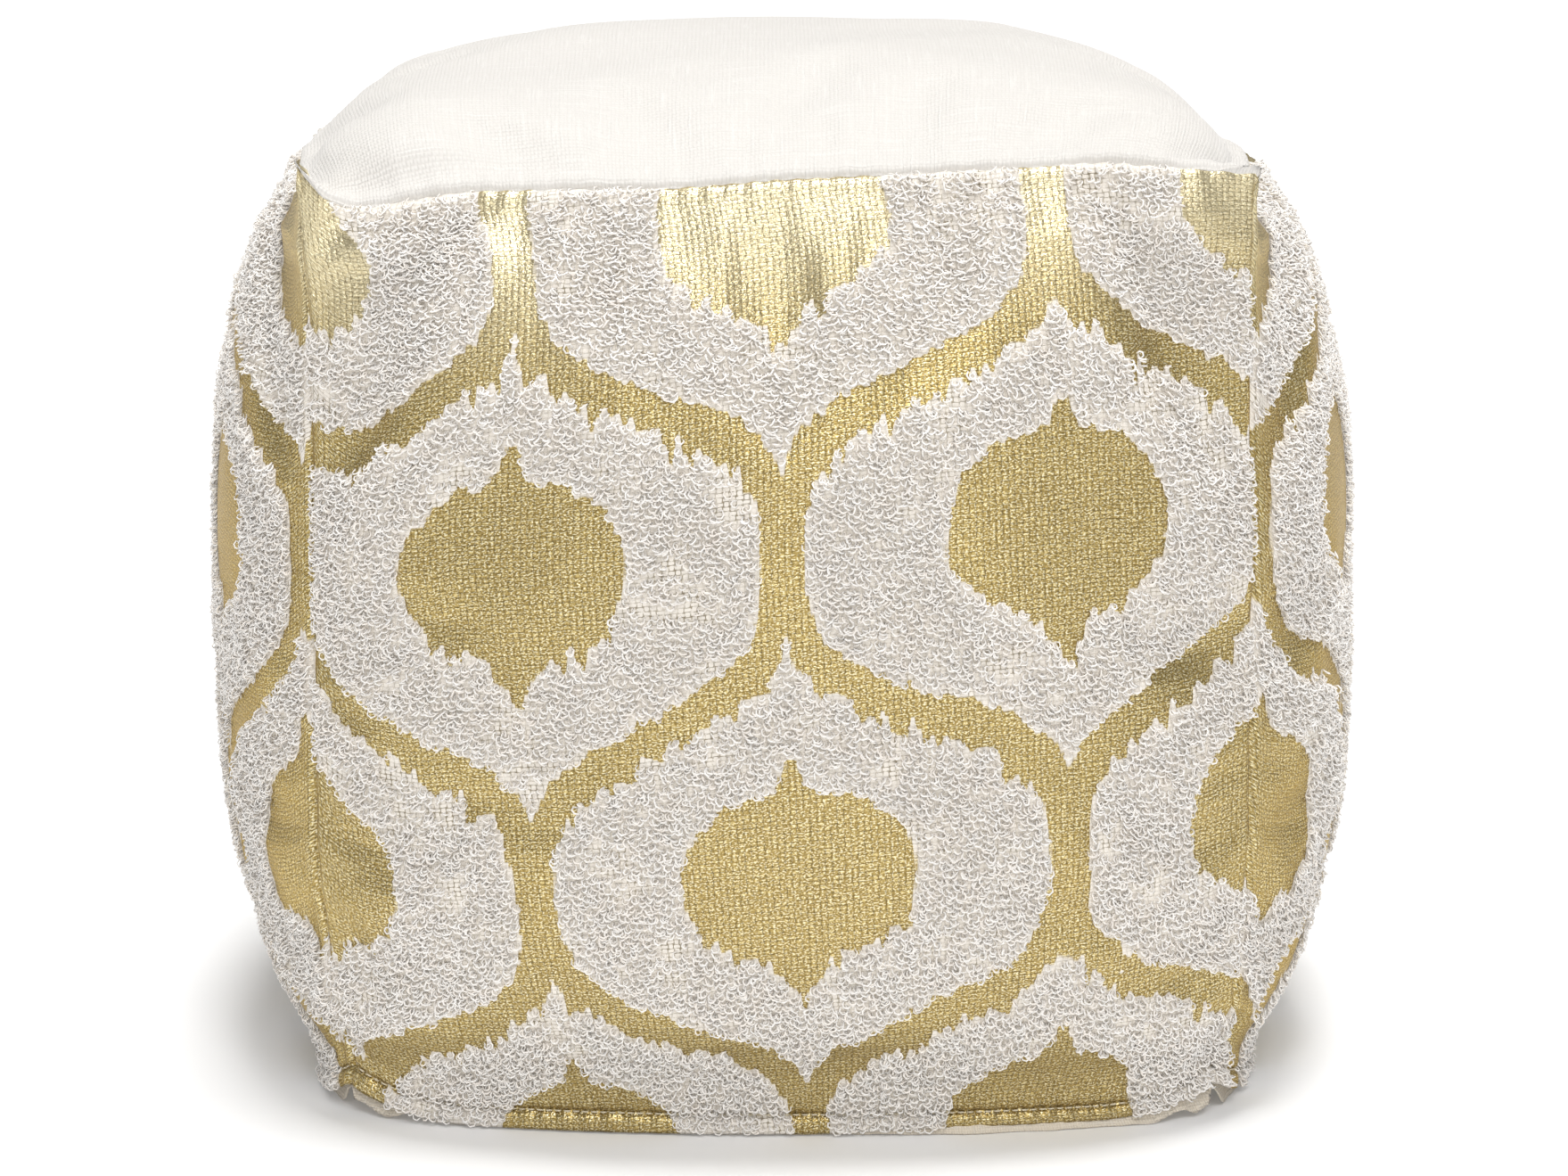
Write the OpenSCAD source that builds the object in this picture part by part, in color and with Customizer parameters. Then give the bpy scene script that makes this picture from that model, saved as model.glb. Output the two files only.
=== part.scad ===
// Soft cube pouf: a sewn cover with a zipped base, an inner bag and a loose bead filling.
// The front faces -Y, the right side +X, and the pouf stands on z = 0. Sizes are in millimetres.
//
// Every soft layer is the same swollen cube, drawn at its own depth under the cover's face:
// cover, gap, inner bag, gap, filling. A sewn panel is a thick sheet between two depths, and
// neighbouring panels of one layer meet face to face along their seam.

/* [Cover] */
// Half the span between two upright seams, at the top seam
corner_top = 216; // [205:1:225]
// Half the span between two upright seams, at mid height
corner_mid = 220; // [210:1:228]
// Half the span between two upright seams, at the base
corner_base = 204; // [198:1:212]
// How far the middle of a side swells past its upright seams at mid height
swell_mid = 61; // [40:1:75]
// The same swell along the top seam
swell_top = 20; // [10:1:30]
// The same swell along the base
swell_base = 28; // [15:1:35]
// Height of the top seam
seam_z = 438; // [400:1:460]
// Rise of the domed top panel above its seam
dome_rise = 54; // [35:1:70]
// Exponent of the swelling: 2 is a round bow, more is fuller near the seams
fullness = 2.2; // [2:0.1:3]
// Thickness of a cover panel with its loop pile
cover_t = 3; // [2:0.1:4]

/* [Base] */
// Height of the topstitched crease above the hem's edge
flange_h = 10; // [8:0.5:14]
// Lift of the base corners off the floor
corner_lift = 14; // [6:1:20]
// Gap between the floor and the edge of the side hems
hem_gap = 1; // [0.8:0.1:2]
// Thickness of the base cloth and of the hem tape
base_t = 1.2; // [1:0.1:1.3]
// Height of the cloth above the floor beside the zip
hem_z = 5.45; // [5.2:0.05:5.6]

/* [Inner bag and filling] */
// Depth of the inner bag under the cover's face
bag_depth = 5; // [5:0.1:6]
// Thickness of the inner bag's cloth
bag_t = 1; // [0.8:0.1:1.2]
// Depth of the filling under the cover's face
fill_depth = 7; // [7:0.5:10]

/* [Zip] */
// Length of the zip tapes
tape_len = 400; // [380:5:400]
// Width of one tape
tape_w = 12; // [10:0.5:12]
// Distance from one tooth to the next in a row
tooth_pitch = 3; // [2.8:0.1:3.4]
// Place of the slider along X when the zip is closed
slider_x = 178; // [170:1:178]
// Length of the pull tab from its hinge pin
pull_len = 26; // [20:1:30]

/* [Hidden] */

ivory = [0.93, 0.91, 0.86];
gold_print = [0.74, 0.66, 0.42];
cream = [0.88, 0.83, 0.74];
thread_white = [0.95, 0.93, 0.88];
bag_white = [0.9, 0.9, 0.9];
bead_white = [0.97, 0.97, 0.97];
nickel = [0.7, 0.7, 0.68];

// Places of the grid lines across a panel, from one seam (-1) to the other (1).
steps = [-1, -0.9, -0.8, -0.7, -0.45, -0.22, 0, 0.22, 0.45, 0.7, 0.8, 0.9, 1];
m = len(steps);

// The base is flat inside this share of its half width and curls up to the crease outside it.
flat_share = 0.7;

// Heights in the zip, from the floor up. Everything below tape_z hangs in the shallow valley
// that the base cloth makes along the zip, so nothing reaches the floor.
pin_z = 2.1;
plate_low_z = 4.1;
plate_t = 1.2;
tape_z = hem_z + base_t;
tape_t = 0.5;
tooth_t = 2.4;
tooth_z = tape_z + tape_t / 2 - tooth_t / 2;
plate_top_z = tooth_z + tooth_t + 0.4;
row_back = 3;
zip_edge = 11;
valley_in = 14;
valley_out = 28;
slider_half_len = 5.5;
slider_half_w = 5.2;
pin_r = 0.8;
stop_gap = 1;
stop_len = 3;

// How far the bag and the filling stand above the base cloth, and how far they arch over the zip.
bag_low = 2.2;
bag_arch = 12;
fill_low = 4;
fill_arch = 14;

thread_r = 0.45;
bag_thread_r = 0.3;
thread_depth = cover_t + 1;
bag_thread_depth = bag_depth + bag_t + 0.5;

// ---- The swollen cube ----

// 1 in the middle of a span and 0 at its seams.
function bow(t) = 1 - pow(abs(t), fullness);

// 0 over the flat middle of the base, rising to 1 at its edge.
function curl(t) = pow(max(0, (abs(t) - flat_share) / (1 - flat_share)), 2);

// Half the span between upright seams at height share v, at the given depth.
function corner_half(v, depth) =
    corner_base * (1 - v) * (1 - 2 * v) + corner_mid * 4 * v * (1 - v) + corner_top * v * (2 * v - 1) - depth;

// Swell of a side at height share v.
function seam_swell(v) = swell_base * (1 - v) + swell_top * v;
function swell(v) = seam_swell(v) + (swell_mid - seam_swell(v)) * bow(2 * v - 1);

function crease_z(u) = flange_h + corner_lift * curl(u);

// A point of the front side: u runs across, v up from the crease to the top seam.
function side_point(u, v, depth, low) = [
    u * corner_half(v, depth),
    -corner_half(v, depth) - swell(v) * bow(u),
    (crease_z(u) + low) * (1 - v) + (seam_z - depth) * v
];

// A point of the side's hem, below the crease.
function hem_point(u, depth) = [
    u * corner_half(0, depth),
    -corner_half(0, depth) - swell_base * bow(u),
    hem_gap + corner_lift * curl(u)
];

// One plan coordinate inside a panel whose seams bow outwards.
function plan(t, other, half, bulge) = t * half + sign(t) * t * t * bulge * bow(other);

function top_point(u, w, depth) = [
    plan(u, w, corner_half(1, depth), swell_top),
    plan(w, u, corner_half(1, depth), swell_top),
    seam_z - depth + dome_rise * bow(u) * bow(w)
];

function rim_z(u, w) = flange_h * (1 - (1 - curl(u)) * (1 - curl(w))) + corner_lift * curl(u) * curl(w);

// A point of the base. arch is the height over the zip's line, reach the half width of that rise
// and crest the half width of its level top.
function base_point(u, w, depth, low, arch, reach, crest) =
    let (half = corner_half(0, depth))
    let (rise = min(1, max(0, (reach - abs(w) * half) / (reach - crest))))
    [
        plan(u, w, half, swell_base),
        plan(w, u, half, swell_base),
        max(rim_z(u, w) + low, low + (arch - low) * rise)
    ];

// A point turned by k quarter turns about Z, from the front to the right, the back and the left.
function quarter(p, k) = k == 0 ? p : quarter([-p[1], p[0], p[2]], k - 1);

// ---- Thick sheets, closed forms and threads ----

function flat_list(lists) = [for (l = lists) for (e = l) e];

// Two triangles of the quad with corners a, b (lower) and d, e (upper), seen from outside.
function quad(a, b, d, e) = [[a, d, e], [a, e, b]];

// A closed sheet between two grids of points, outer and inner, given as rows from bottom to top.
module thick_sheet(outer, inner) {
    rows = len(outer);
    cols = len(outer[0]);
    back = rows * cols;
    skin = [for (r = [0:rows - 2]) for (c = [0:cols - 2])
        quad(r * cols + c, r * cols + c + 1, (r + 1) * cols + c, (r + 1) * cols + c + 1)];
    lining = [for (pair = skin) [for (t = pair) [t[0] + back, t[2] + back, t[1] + back]]];
    last = (rows - 1) * cols;
    ends = [for (c = [0:cols - 2]) each [
        quad(c + back, c + 1 + back, c, c + 1),
        quad(last + c, last + c + 1, last + c + back, last + c + 1 + back)
    ]];
    edges = [for (r = [0:rows - 2]) each [
        quad(r * cols + back, r * cols, (r + 1) * cols + back, (r + 1) * cols),
        quad((r + 1) * cols - 1, (r + 1) * cols - 1 + back, (r + 2) * cols - 1, (r + 2) * cols - 1 + back)
    ]];
    polyhedron(
        points = concat(flat_list(outer), flat_list(inner)),
        faces = flat_list(concat(skin, lining, ends, edges))
    );
}

// The points of the front side's run, repeated round all four sides without the shared corners.
function round_all(front) = [for (k = [0:3]) for (i = [0:m - 2]) quarter(front[i], k)];

// A closed ring of equal sections: sections[i] is the list of points of section i.
module ring_band(sections) {
    n = len(sections);
    s = len(sections[0]);
    polyhedron(
        points = flat_list(sections),
        faces = flat_list([for (i = [0:n - 1]) for (j = [0:s - 1])
            quad(i * s + j, ((i + 1) % n) * s + j, i * s + (j + 1) % s, ((i + 1) % n) * s + (j + 1) % s)])
    );
}

// An open run of sections with flat ends.
module open_band(sections) {
    n = len(sections);
    s = len(sections[0]);
    sides = flat_list([for (i = [0:n - 2]) for (j = [0:s - 1])
        quad(i * s + j, (i + 1) * s + j, i * s + (j + 1) % s, (i + 1) * s + (j + 1) % s)]);
    last = (n - 1) * s;
    caps = [for (j = [1:s - 2]) each [[0, j + 1, j], [last, last + j, last + j + 1]]];
    polyhedron(points = flat_list(sections), faces = concat(sides, caps));
}

// A hexagonal section round point p, spanned by the level direction out and by Z.
function hex_section(p, out, r) = [for (a = [0:60:300]) p + r * (cos(a) * out + sin(a) * [0, 0, 1])];

// A hexagonal level section round point p.
function level_section(p, r) = [for (a = [0:60:300]) p + r * [cos(a), -sin(a), 0]];

// The level direction that points out of the front side at u; at a corner it is the diagonal.
function outward(u) =
    abs(u) == 1 ? [sign(u) * sqrt(0.5), -sqrt(0.5), 0]
    : let (s = swell_mid * fullness * sign(u) * pow(abs(u), fullness - 1) / corner_mid)
      [s, -1, 0] / norm([s, -1, 0]);

// ---- Outer cover ----

module side_sheet(k, outer, outer_low, inner, inner_low, hem) {
    function grid(depth, low) = [for (s = steps) [for (u = steps) side_point(u, (s + 1) / 2, depth, low)]];
    function hem_row(depth) = hem ? [[for (u = steps) hem_point(u, depth)]] : [];
    rotate([0, 0, 90 * k])
        thick_sheet(
            concat(hem_row(outer - 1), grid(outer, outer_low)),
            concat(hem_row(inner - 1), grid(inner, inner_low))
        );
}

module top_sheet(outer, inner) {
    function grid(depth) = [for (w = steps) [for (u = steps) top_point(u, w, depth)]];
    thick_sheet(grid(outer), grid(inner));
}

module top_panel() {
    color(ivory)
        top_sheet(0, cover_t);
}

module front_panel() {
    color(gold_print)
        side_sheet(0, 0, 0, cover_t, 0, true);
}

module right_panel() {
    color(gold_print)
        side_sheet(1, 0, 0, cover_t, 0, true);
}

module back_panel() {
    color(gold_print)
        side_sheet(2, 0, 0, cover_t, 0, true);
}

module left_panel() {
    color(gold_print)
        side_sheet(3, 0, 0, cover_t, 0, true);
}

// The front half of the base cloth. Its free edge lies on the zip tape.
module base_half() {
    edge_depth = cover_t + 0.4 + base_t;
    half = corner_half(0, edge_depth);
    rows = concat([for (s = steps) if (s < -0.2) s], [-valley_out / half, -valley_in / half, -zip_edge / half]);
    function grid(low) = [for (w = rows) [for (u = steps)
        base_point(u, w, edge_depth, low, hem_z + low, valley_out, valley_in)]];
    thick_sheet(grid(base_t), grid(0));
}

module base_panel_front() {
    color(cream)
        base_half();
}

module base_panel_rear() {
    color(cream)
        rotate([0, 0, 180])
            base_half();
}

// A standing strip inside the side hems, a little lower than they are.
module base_hem_tape() {
    out = cover_t + 0.2;
    in = out + base_t;
    drop = hem_gap - 0.5;
    function foot(depth) = [for (u = steps) hem_point(u, depth) - [0, 0, drop]];
    function head(depth) = [for (u = steps) side_point(u, 0, depth, base_t)];
    foot_out = round_all(foot(out));
    head_out = round_all(head(out));
    foot_in = round_all(foot(in));
    head_in = round_all(head(in));
    color(cream)
        ring_band([for (i = [0:len(foot_out) - 1]) [foot_out[i], head_out[i], head_in[i], foot_in[i]]]);
}

// ---- Threads of the cover ----

module thread_loop(v, depth, low, r) {
    path = round_all([for (u = steps) side_point(u, v, depth, low)]);
    out = round_all([for (u = steps) outward(u)]);
    ring_band([for (i = [0:len(path) - 1]) hex_section(path[i], out[i], r)]);
}

// Four upright threads, each just inside a corner seam.
module corner_threads(depth, low, r) {
    levels = [for (s = steps) min(0.96, max(0.04, (s + 1) / 2))];
    heights = [for (i = [0:m - 1]) if (i == 0 || levels[i] > levels[i - 1]) levels[i]];
    for (k = [0:3])
        rotate([0, 0, 90 * k])
            open_band([for (v = heights) level_section(side_point(1, v, depth, low), r)]);
}

module top_seam_thread() {
    color(thread_white)
        thread_loop(1, thread_depth, 0, thread_r);
}

module corner_seam_threads() {
    color(thread_white)
        corner_threads(thread_depth, 0, thread_r);
}

module base_topstitch_thread() {
    color(thread_white)
        thread_loop(0, -thread_r - 0.35, 0, thread_r);
}

// ---- Zip ----

module zip_tape() {
    color(cream)
        translate([-tape_len / 2, -row_back - tape_w, tape_z])
            cube([tape_len, tape_w, tape_t]);
}

module zip_tape_front() {
    zip_tape();
}

module zip_tape_rear() {
    rotate([0, 0, 180])
        zip_tape();
}

// One row of teeth on its spine. The row ends under the slider, short of the slider's wedge.
module tooth_row(shift) {
    tooth_half = 0.65;
    spine = 1.6;
    tip = 0.9;
    first = -slider_x - slider_half_len;
    last = slider_x + 1;
    count = floor((last - first - shift - 2 * tooth_half) / tooth_pitch);
    comb = [for (i = [0:count]) let (x = first + shift + tooth_half + i * tooth_pitch) each [
        [x - tooth_half, -spine], [x - tooth_half, tip], [x + tooth_half, tip], [x + tooth_half, -spine]
    ]];
    color(nickel)
        translate([0, 0, tooth_z])
            linear_extrude(tooth_t)
                polygon(concat([[first, -row_back], [first, -spine]], comb, [[last, -spine], [last, -row_back]]));
}

module zip_teeth_front() {
    tooth_row(0.1);
}

module zip_teeth_rear() {
    mirror([0, 1, 0])
        tooth_row(0.1 + tooth_pitch / 2);
}

module zip_bottom_stop() {
    x = -slider_x - slider_half_len - stop_len;
    color(nickel)
        translate([x, -row_back, tooth_z - 0.1])
            cube([stop_len, 2 * row_back, tooth_t + 0.2]);
}

module zip_top_stops() {
    color(nickel)
        for (side = [0, 1])
            mirror([0, side, 0])
                translate([slider_x + slider_half_len + stop_gap, 1, tooth_z - 0.1])
                    cube([stop_len, row_back - 1, tooth_t + 0.2]);
}

// Two sewing lines under the folded edges of the base cloth.
module zip_stitching() {
    color(thread_white)
        for (y = [-zip_edge - 1.5, zip_edge + 1.5])
            translate([-tape_len / 2 + 5, y, hem_z - 0.35])
                rotate([0, 90, 0])
                    cylinder(r = 0.3, h = tape_len - 10, $fn = 24);
}

// A plate of the slider, wider at its mouth (+X).
module slider_plate() {
    l = slider_half_len;
    w = slider_half_w;
    linear_extrude(plate_t)
        polygon([[-l, -w + 1], [-l + 1, -w + 0.4], [l - 1.5, -w], [l, -w + 1.5],
            [l, w - 1.5], [l - 1.5, w], [-l + 1, w - 0.4], [-l, w - 1]]);
}

module zip_slider() {
    lip = 0.9;
    color(nickel)
        translate([slider_x, 0, 0]) {
            translate([0, 0, plate_low_z])
                slider_plate();
            translate([0, 0, plate_top_z])
                slider_plate();
            translate([3.6, 0, plate_low_z + plate_t / 2])
                cylinder(r = 1.1, h = plate_top_z - plate_low_z, $fn = 48);
            for (side = [0, 1])
                mirror([0, side, 0]) {
                    translate([-slider_half_len + 1, slider_half_w - 1.3, plate_low_z + plate_t / 2])
                        cube([8, lip, plate_t / 2 + lip]);
                    translate([-slider_half_len + 1, slider_half_w - 1.3, plate_top_z - lip])
                        cube([8, lip, plate_t / 2 + lip]);
                    translate([0, 3.3, pin_z])
                        rotate([90, 0, 0])
                            cylinder(r = 1.5, h = 1, $fn = 48);
                    translate([-1.5, 2.3, pin_z])
                        cube([3, 1, plate_low_z + plate_t / 2 - pin_z]);
                }
            translate([0, 3, pin_z])
                rotate([90, 0, 0])
                    cylinder(r = pin_r, h = 6, $fn = 48);
        }
}

// The pull tab lies along -X under the slider; its eye turns on the slider's pin.
module zip_pull() {
    neck = 2.1;
    half_w = 3.2;
    half_t = 0.65;
    color(nickel)
        translate([slider_x, 0, pin_z])
            difference() {
                union() {
                    translate([0, neck, 0])
                        rotate([90, 0, 0])
                            cylinder(r = 1.5, h = 2 * neck, $fn = 48);
                    translate([-5, -neck, -half_t])
                        cube([5, 2 * neck, 2 * half_t]);
                    translate([-pull_len + half_w, -half_w, -half_t])
                        cube([pull_len - half_w - 4.5, 2 * half_w, 2 * half_t]);
                    translate([-pull_len + half_w, 0, -half_t])
                        cylinder(r = half_w, h = 2 * half_t, $fn = 64);
                }
                translate([0, neck + 1, 0])
                    rotate([90, 0, 0])
                        cylinder(r = pin_r + 0.05, h = 2 * neck + 2, $fn = 48);
            }
}

// ---- Inner bag and filling ----

module bag_side(k) {
    color(bag_white)
        side_sheet(k, bag_depth, bag_low, bag_depth + bag_t, bag_low + bag_t, false);
}

module liner_top() {
    color(bag_white)
        top_sheet(bag_depth, bag_depth + bag_t);
}

module liner_front() {
    bag_side(0);
}

module liner_right() {
    bag_side(1);
}

module liner_back() {
    bag_side(2);
}

module liner_left() {
    bag_side(3);
}

// The grid of a base that arches over the zip in one fold.
function folded_base(depth, low, arch) =
    let (reach = steps[7] * corner_half(0, depth))
    [for (w = steps) [for (u = steps) base_point(u, w, depth, low, arch, reach, 0)]];

module liner_base() {
    color(bag_white)
        thick_sheet(
            folded_base(bag_depth + bag_t, bag_low + bag_t, bag_arch + bag_t),
            folded_base(bag_depth, bag_low, bag_arch)
        );
}

module liner_seam_threads() {
    color(thread_white)
        corner_threads(bag_thread_depth, bag_low + bag_t, bag_thread_r);
}

// The line of sewing that shuts the bag's filling opening, at the top of its back.
module liner_closing_thread() {
    run = [for (u = steps) if (abs(u) < 0.75) u];
    color(thread_white)
        rotate([0, 0, 180])
            open_band([for (u = run)
                hex_section(side_point(u, 1, bag_thread_depth, 0), outward(u), bag_thread_r)]);
}

// The loose beads as one body: levels of one perimeter, closed by the top and base grids.
module bead_fill() {
    low = fill_low;
    ring = 4 * (m - 1);
    inside = m - 2;
    levels = [for (s = steps)
        round_all([for (u = steps) side_point(u, (s + 1) / 2, fill_depth, low)])];
    top = [for (w = steps) [for (u = steps) top_point(u, w, fill_depth)]];
    base = folded_base(fill_depth, low, fill_arch);
    function core(grid) = [for (r = [1:m - 2]) for (c = [1:m - 2]) grid[r][c]];
    // Index of a grid point: on the border it is a point of a perimeter level.
    function rim_index(r, c) =
        r == 0 ? c
        : c == m - 1 ? (m - 1) + r
        : r == m - 1 ? 3 * (m - 1) - c
        : c == 0 ? (4 * (m - 1) - r) % ring
        : -1;
    function cap_index(r, c, level, first) =
        rim_index(r, c) >= 0 ? level * ring + rim_index(r, c)
        : first + (r - 1) * inside + c - 1;
    top_first = m * ring;
    base_first = top_first + inside * inside;
    walls = [for (l = [0:m - 2]) for (i = [0:ring - 1])
        quad(l * ring + i, l * ring + (i + 1) % ring, (l + 1) * ring + i, (l + 1) * ring + (i + 1) % ring)];
    lids = [for (r = [0:m - 2]) for (c = [0:m - 2]) each [
        quad(cap_index(r, c, m - 1, top_first), cap_index(r, c + 1, m - 1, top_first),
            cap_index(r + 1, c, m - 1, top_first), cap_index(r + 1, c + 1, m - 1, top_first)),
        quad(cap_index(r, c, 0, base_first), cap_index(r + 1, c, 0, base_first),
            cap_index(r, c + 1, 0, base_first), cap_index(r + 1, c + 1, 0, base_first))
    ]];
    color(bead_white)
        polyhedron(
            points = concat(flat_list(levels), core(top), core(base)),
            faces = flat_list(concat(walls, lids))
        );
}

top_panel();
front_panel();
right_panel();
back_panel();
left_panel();
base_panel_front();
base_panel_rear();
base_hem_tape();
top_seam_thread();
corner_seam_threads();
base_topstitch_thread();
zip_tape_front();
zip_tape_rear();
zip_teeth_front();
zip_teeth_rear();
zip_bottom_stop();
zip_top_stops();
zip_stitching();
zip_slider();
zip_pull();
liner_top();
liner_front();
liner_right();
liner_back();
liner_left();
liner_base();
liner_seam_threads();
liner_closing_thread();
bead_fill();
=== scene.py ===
"""Looks of a soft cube pouf: a sewn cover with a looped pile pattern on gold cloth, a plain top,
a hemmed base with a zip, an inner bag and its bead filling. Shapes are worked out in millimetres
in the row frame (front -Y, right +X, standing on z = 0) and written to Blender in metres."""
import math

import bpy
import numpy as np
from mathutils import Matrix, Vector


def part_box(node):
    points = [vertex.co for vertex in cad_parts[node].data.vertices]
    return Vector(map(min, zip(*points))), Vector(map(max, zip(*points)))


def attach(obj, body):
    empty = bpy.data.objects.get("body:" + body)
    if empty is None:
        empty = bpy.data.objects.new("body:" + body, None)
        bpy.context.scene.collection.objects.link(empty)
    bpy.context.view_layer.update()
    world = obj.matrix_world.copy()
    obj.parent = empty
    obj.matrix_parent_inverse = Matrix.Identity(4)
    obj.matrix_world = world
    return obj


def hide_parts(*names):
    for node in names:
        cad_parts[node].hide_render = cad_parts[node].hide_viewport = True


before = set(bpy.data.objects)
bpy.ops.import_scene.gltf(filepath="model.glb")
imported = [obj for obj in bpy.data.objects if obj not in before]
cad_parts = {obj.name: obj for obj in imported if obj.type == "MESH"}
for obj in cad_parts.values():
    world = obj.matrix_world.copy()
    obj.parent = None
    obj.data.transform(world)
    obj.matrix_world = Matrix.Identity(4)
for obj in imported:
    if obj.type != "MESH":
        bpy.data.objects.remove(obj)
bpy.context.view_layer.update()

MM = 0.001
TURN = 2 * math.pi
SIDES = ("front", "right", "back", "left")


def box_mm(node):
    """Lowest and highest corner of a CAD node in mm."""
    low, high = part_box(node)
    return np.array(low) / MM, np.array(high) / MM


def hump(x, width):
    """1 at x = 0, dying away on both sides."""
    return np.exp(-((x / width) ** 2))


def ramp(x, start, length):
    """0 up to start, then rising to 1 over the length."""
    return np.clip((x - start) / length, 0, 1)


def eased(t):
    """0 to 1 with a soft start and end."""
    return t * t * (3 - 2 * t)


def unit(vectors):
    return vectors / np.maximum(1e-9, np.linalg.norm(vectors, axis=-1))[..., None]


# ---- The swollen cube, as the CAD model has it ----

SEAM_Z = box_mm("front_panel")[1][2]
DOME_RISE = box_mm("top_panel")[1][2] - SEAM_Z
SWELL_TOP = 20.0
SWELL_BASE = 28.0
CORNER_TOP = box_mm("top_panel")[1][0] - SWELL_TOP
CORNER_MID = 220.0
CORNER_BASE = 204.0
SWELL_MID = -box_mm("front_panel")[0][1] - CORNER_MID
FULLNESS = 2.2
FLAT_SHARE = 0.7
CORNER_LIFT = 14.0
CREASE_Z = 10.0
HEM_Z = 1.0
COVER_T = 3.0
FACE_DEPTH = 0.6
PANEL_HALF = 228.5
PANEL_RISE = 442.0


def bow(t):
    """1 in the middle of a span and 0 at its seams."""
    return 1 - np.abs(t) ** FULLNESS


def curl(t):
    """0 over the flat middle of the base, rising to 1 at its edge."""
    return np.maximum(0, (np.abs(t) - FLAT_SHARE) / (1 - FLAT_SHARE)) ** 2


def corner_half(v, depth):
    """Half the span between two upright seams at height share v."""
    low = CORNER_BASE * (1 - v) * (1 - 2 * v)
    return low + CORNER_MID * 4 * v * (1 - v) + CORNER_TOP * v * (2 * v - 1) - depth


def swell(v):
    """How far a side stands past its upright seams at height share v."""
    seam = SWELL_BASE * (1 - v) + SWELL_TOP * v
    return seam + (SWELL_MID - seam) * bow(2 * v - 1)


def side_rest(u, v, depth, low=0.0):
    """A point of the front side; v from -1 to 0 is the hem."""
    vv = np.maximum(v, 0)
    half = corner_half(vv, depth)
    crease = CREASE_Z + CORNER_LIFT * curl(u) + low
    hem = np.minimum(v, 0) * (CREASE_Z - HEM_Z)
    z = crease * (1 - vv) + (SEAM_Z - depth) * vv + hem
    return np.stack([u * half, -half - swell(vv) * bow(u), z], -1)


def plan(t, other, half, bulge):
    """One plan coordinate in a panel whose seams bow outwards."""
    return t * half + np.sign(t) * t * t * bulge * bow(other)


def top_rest(u, w, depth):
    half = corner_half(1.0, depth)
    z = SEAM_Z - depth + DOME_RISE * bow(u) * bow(w)
    return np.stack([plan(u, w, half, SWELL_TOP), plan(w, u, half, SWELL_TOP), z], -1)


def base_rest(u, w, depth, low, arch, reach, crest):
    """A point of the base; arch is its height along the zip."""
    half = corner_half(0.0, depth)
    rise = eased(np.clip((reach - np.abs(w) * half) / (reach - crest), 0, 1))
    rim = CREASE_Z * (1 - (1 - curl(u)) * (1 - curl(w))) + CORNER_LIFT * curl(u) * curl(w)
    z = np.maximum(rim + low, low + (arch - low) * rise)
    return np.stack([plan(u, w, half, SWELL_BASE), plan(w, u, half, SWELL_BASE), z], -1)


def quarter(p, k):
    """Points turned by k quarter turns about Z."""
    for _ in range(k % 4):
        p = np.stack([-p[..., 1], p[..., 0], p[..., 2]], -1)
    return p


# ---- How the sewn cloth settles ----

# Seam dips beside the top corners: corner signs, axis along the seam, depth and reach in mm.
SEAM_DIPS = (
    (-1, -1, 0, 31.0, 45.0), (-1, -1, 1, 15.0, 40.0),
    (1, -1, 0, 2.0, 30.0), (1, -1, 1, 34.0, 60.0),
    (1, 1, 0, 18.0, 38.0), (1, 1, 1, 13.0, 90.0),
    (-1, 1, 0, 7.0, 30.0), (-1, 1, 1, 15.0, 40.0),
)
DIP_START = 14.0
DIP_WIDTH = 36.0
DIP_WIDTH_TOP = 20.0
DIP_IN = 0.25
# Top corners that stand up: corner signs, rise and reach in mm.
CORNER_PEAKS = ((-1, -1, 9.0, 17.0), (1, -1, 2.0, 20.0), (1, 1, 1.0, 22.0), (-1, 1, 2.0, 22.0))
# Corners of the base that are pinched in: corner signs, depth in mm.
PINCHES = ((1, -1, 9.0), (-1, -1, 4.0), (1, 1, 6.0), (-1, 1, 7.0))
PINCH_SIZE = 17.0
PINCH_Z = CREASE_Z + CORNER_LIFT + 5.0
PINCH_SHARE = 0.7


def hand_folds(p):
    """Dips and pinches, as a move of each point."""
    move = np.zeros_like(p)
    for sx, sy, axis, depth, reach in SEAM_DIPS:
        sign = (sx, sy)
        along = p[..., axis] * sign[axis]
        across = p[..., 1 - axis] * sign[1 - axis]
        gap = np.maximum(0, CORNER_TOP - along)
        profile = (1 - np.exp(-gap / DIP_START)) * np.exp(-gap / reach)
        seam = CORNER_TOP + SWELL_TOP * bow(np.clip(along / CORNER_TOP, -1, 1))
        off = np.hypot(seam - across, p[..., 2] - SEAM_Z)
        width = DIP_WIDTH + (DIP_WIDTH_TOP - DIP_WIDTH) * ramp(seam - across, 6, 12)
        pull = depth * profile * hump(off, width)
        move[..., 2] -= pull
        move[..., 1 - axis] -= sign[1 - axis] * DIP_IN * pull
    for sx, sy, rise, reach in CORNER_PEAKS:
        far = np.linalg.norm(p - [sx * CORNER_TOP, sy * CORNER_TOP, SEAM_Z], axis=-1)
        move[..., 2] += rise * hump(far, reach)
    for sx, sy, depth in PINCHES:
        far = np.linalg.norm(p - [sx * CORNER_BASE, sy * CORNER_BASE, PINCH_Z], axis=-1)
        pull = PINCH_SHARE * depth * hump(far, PINCH_SIZE)
        move[..., :2] -= pull[..., None] * [sx, sy]
    return move


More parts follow.
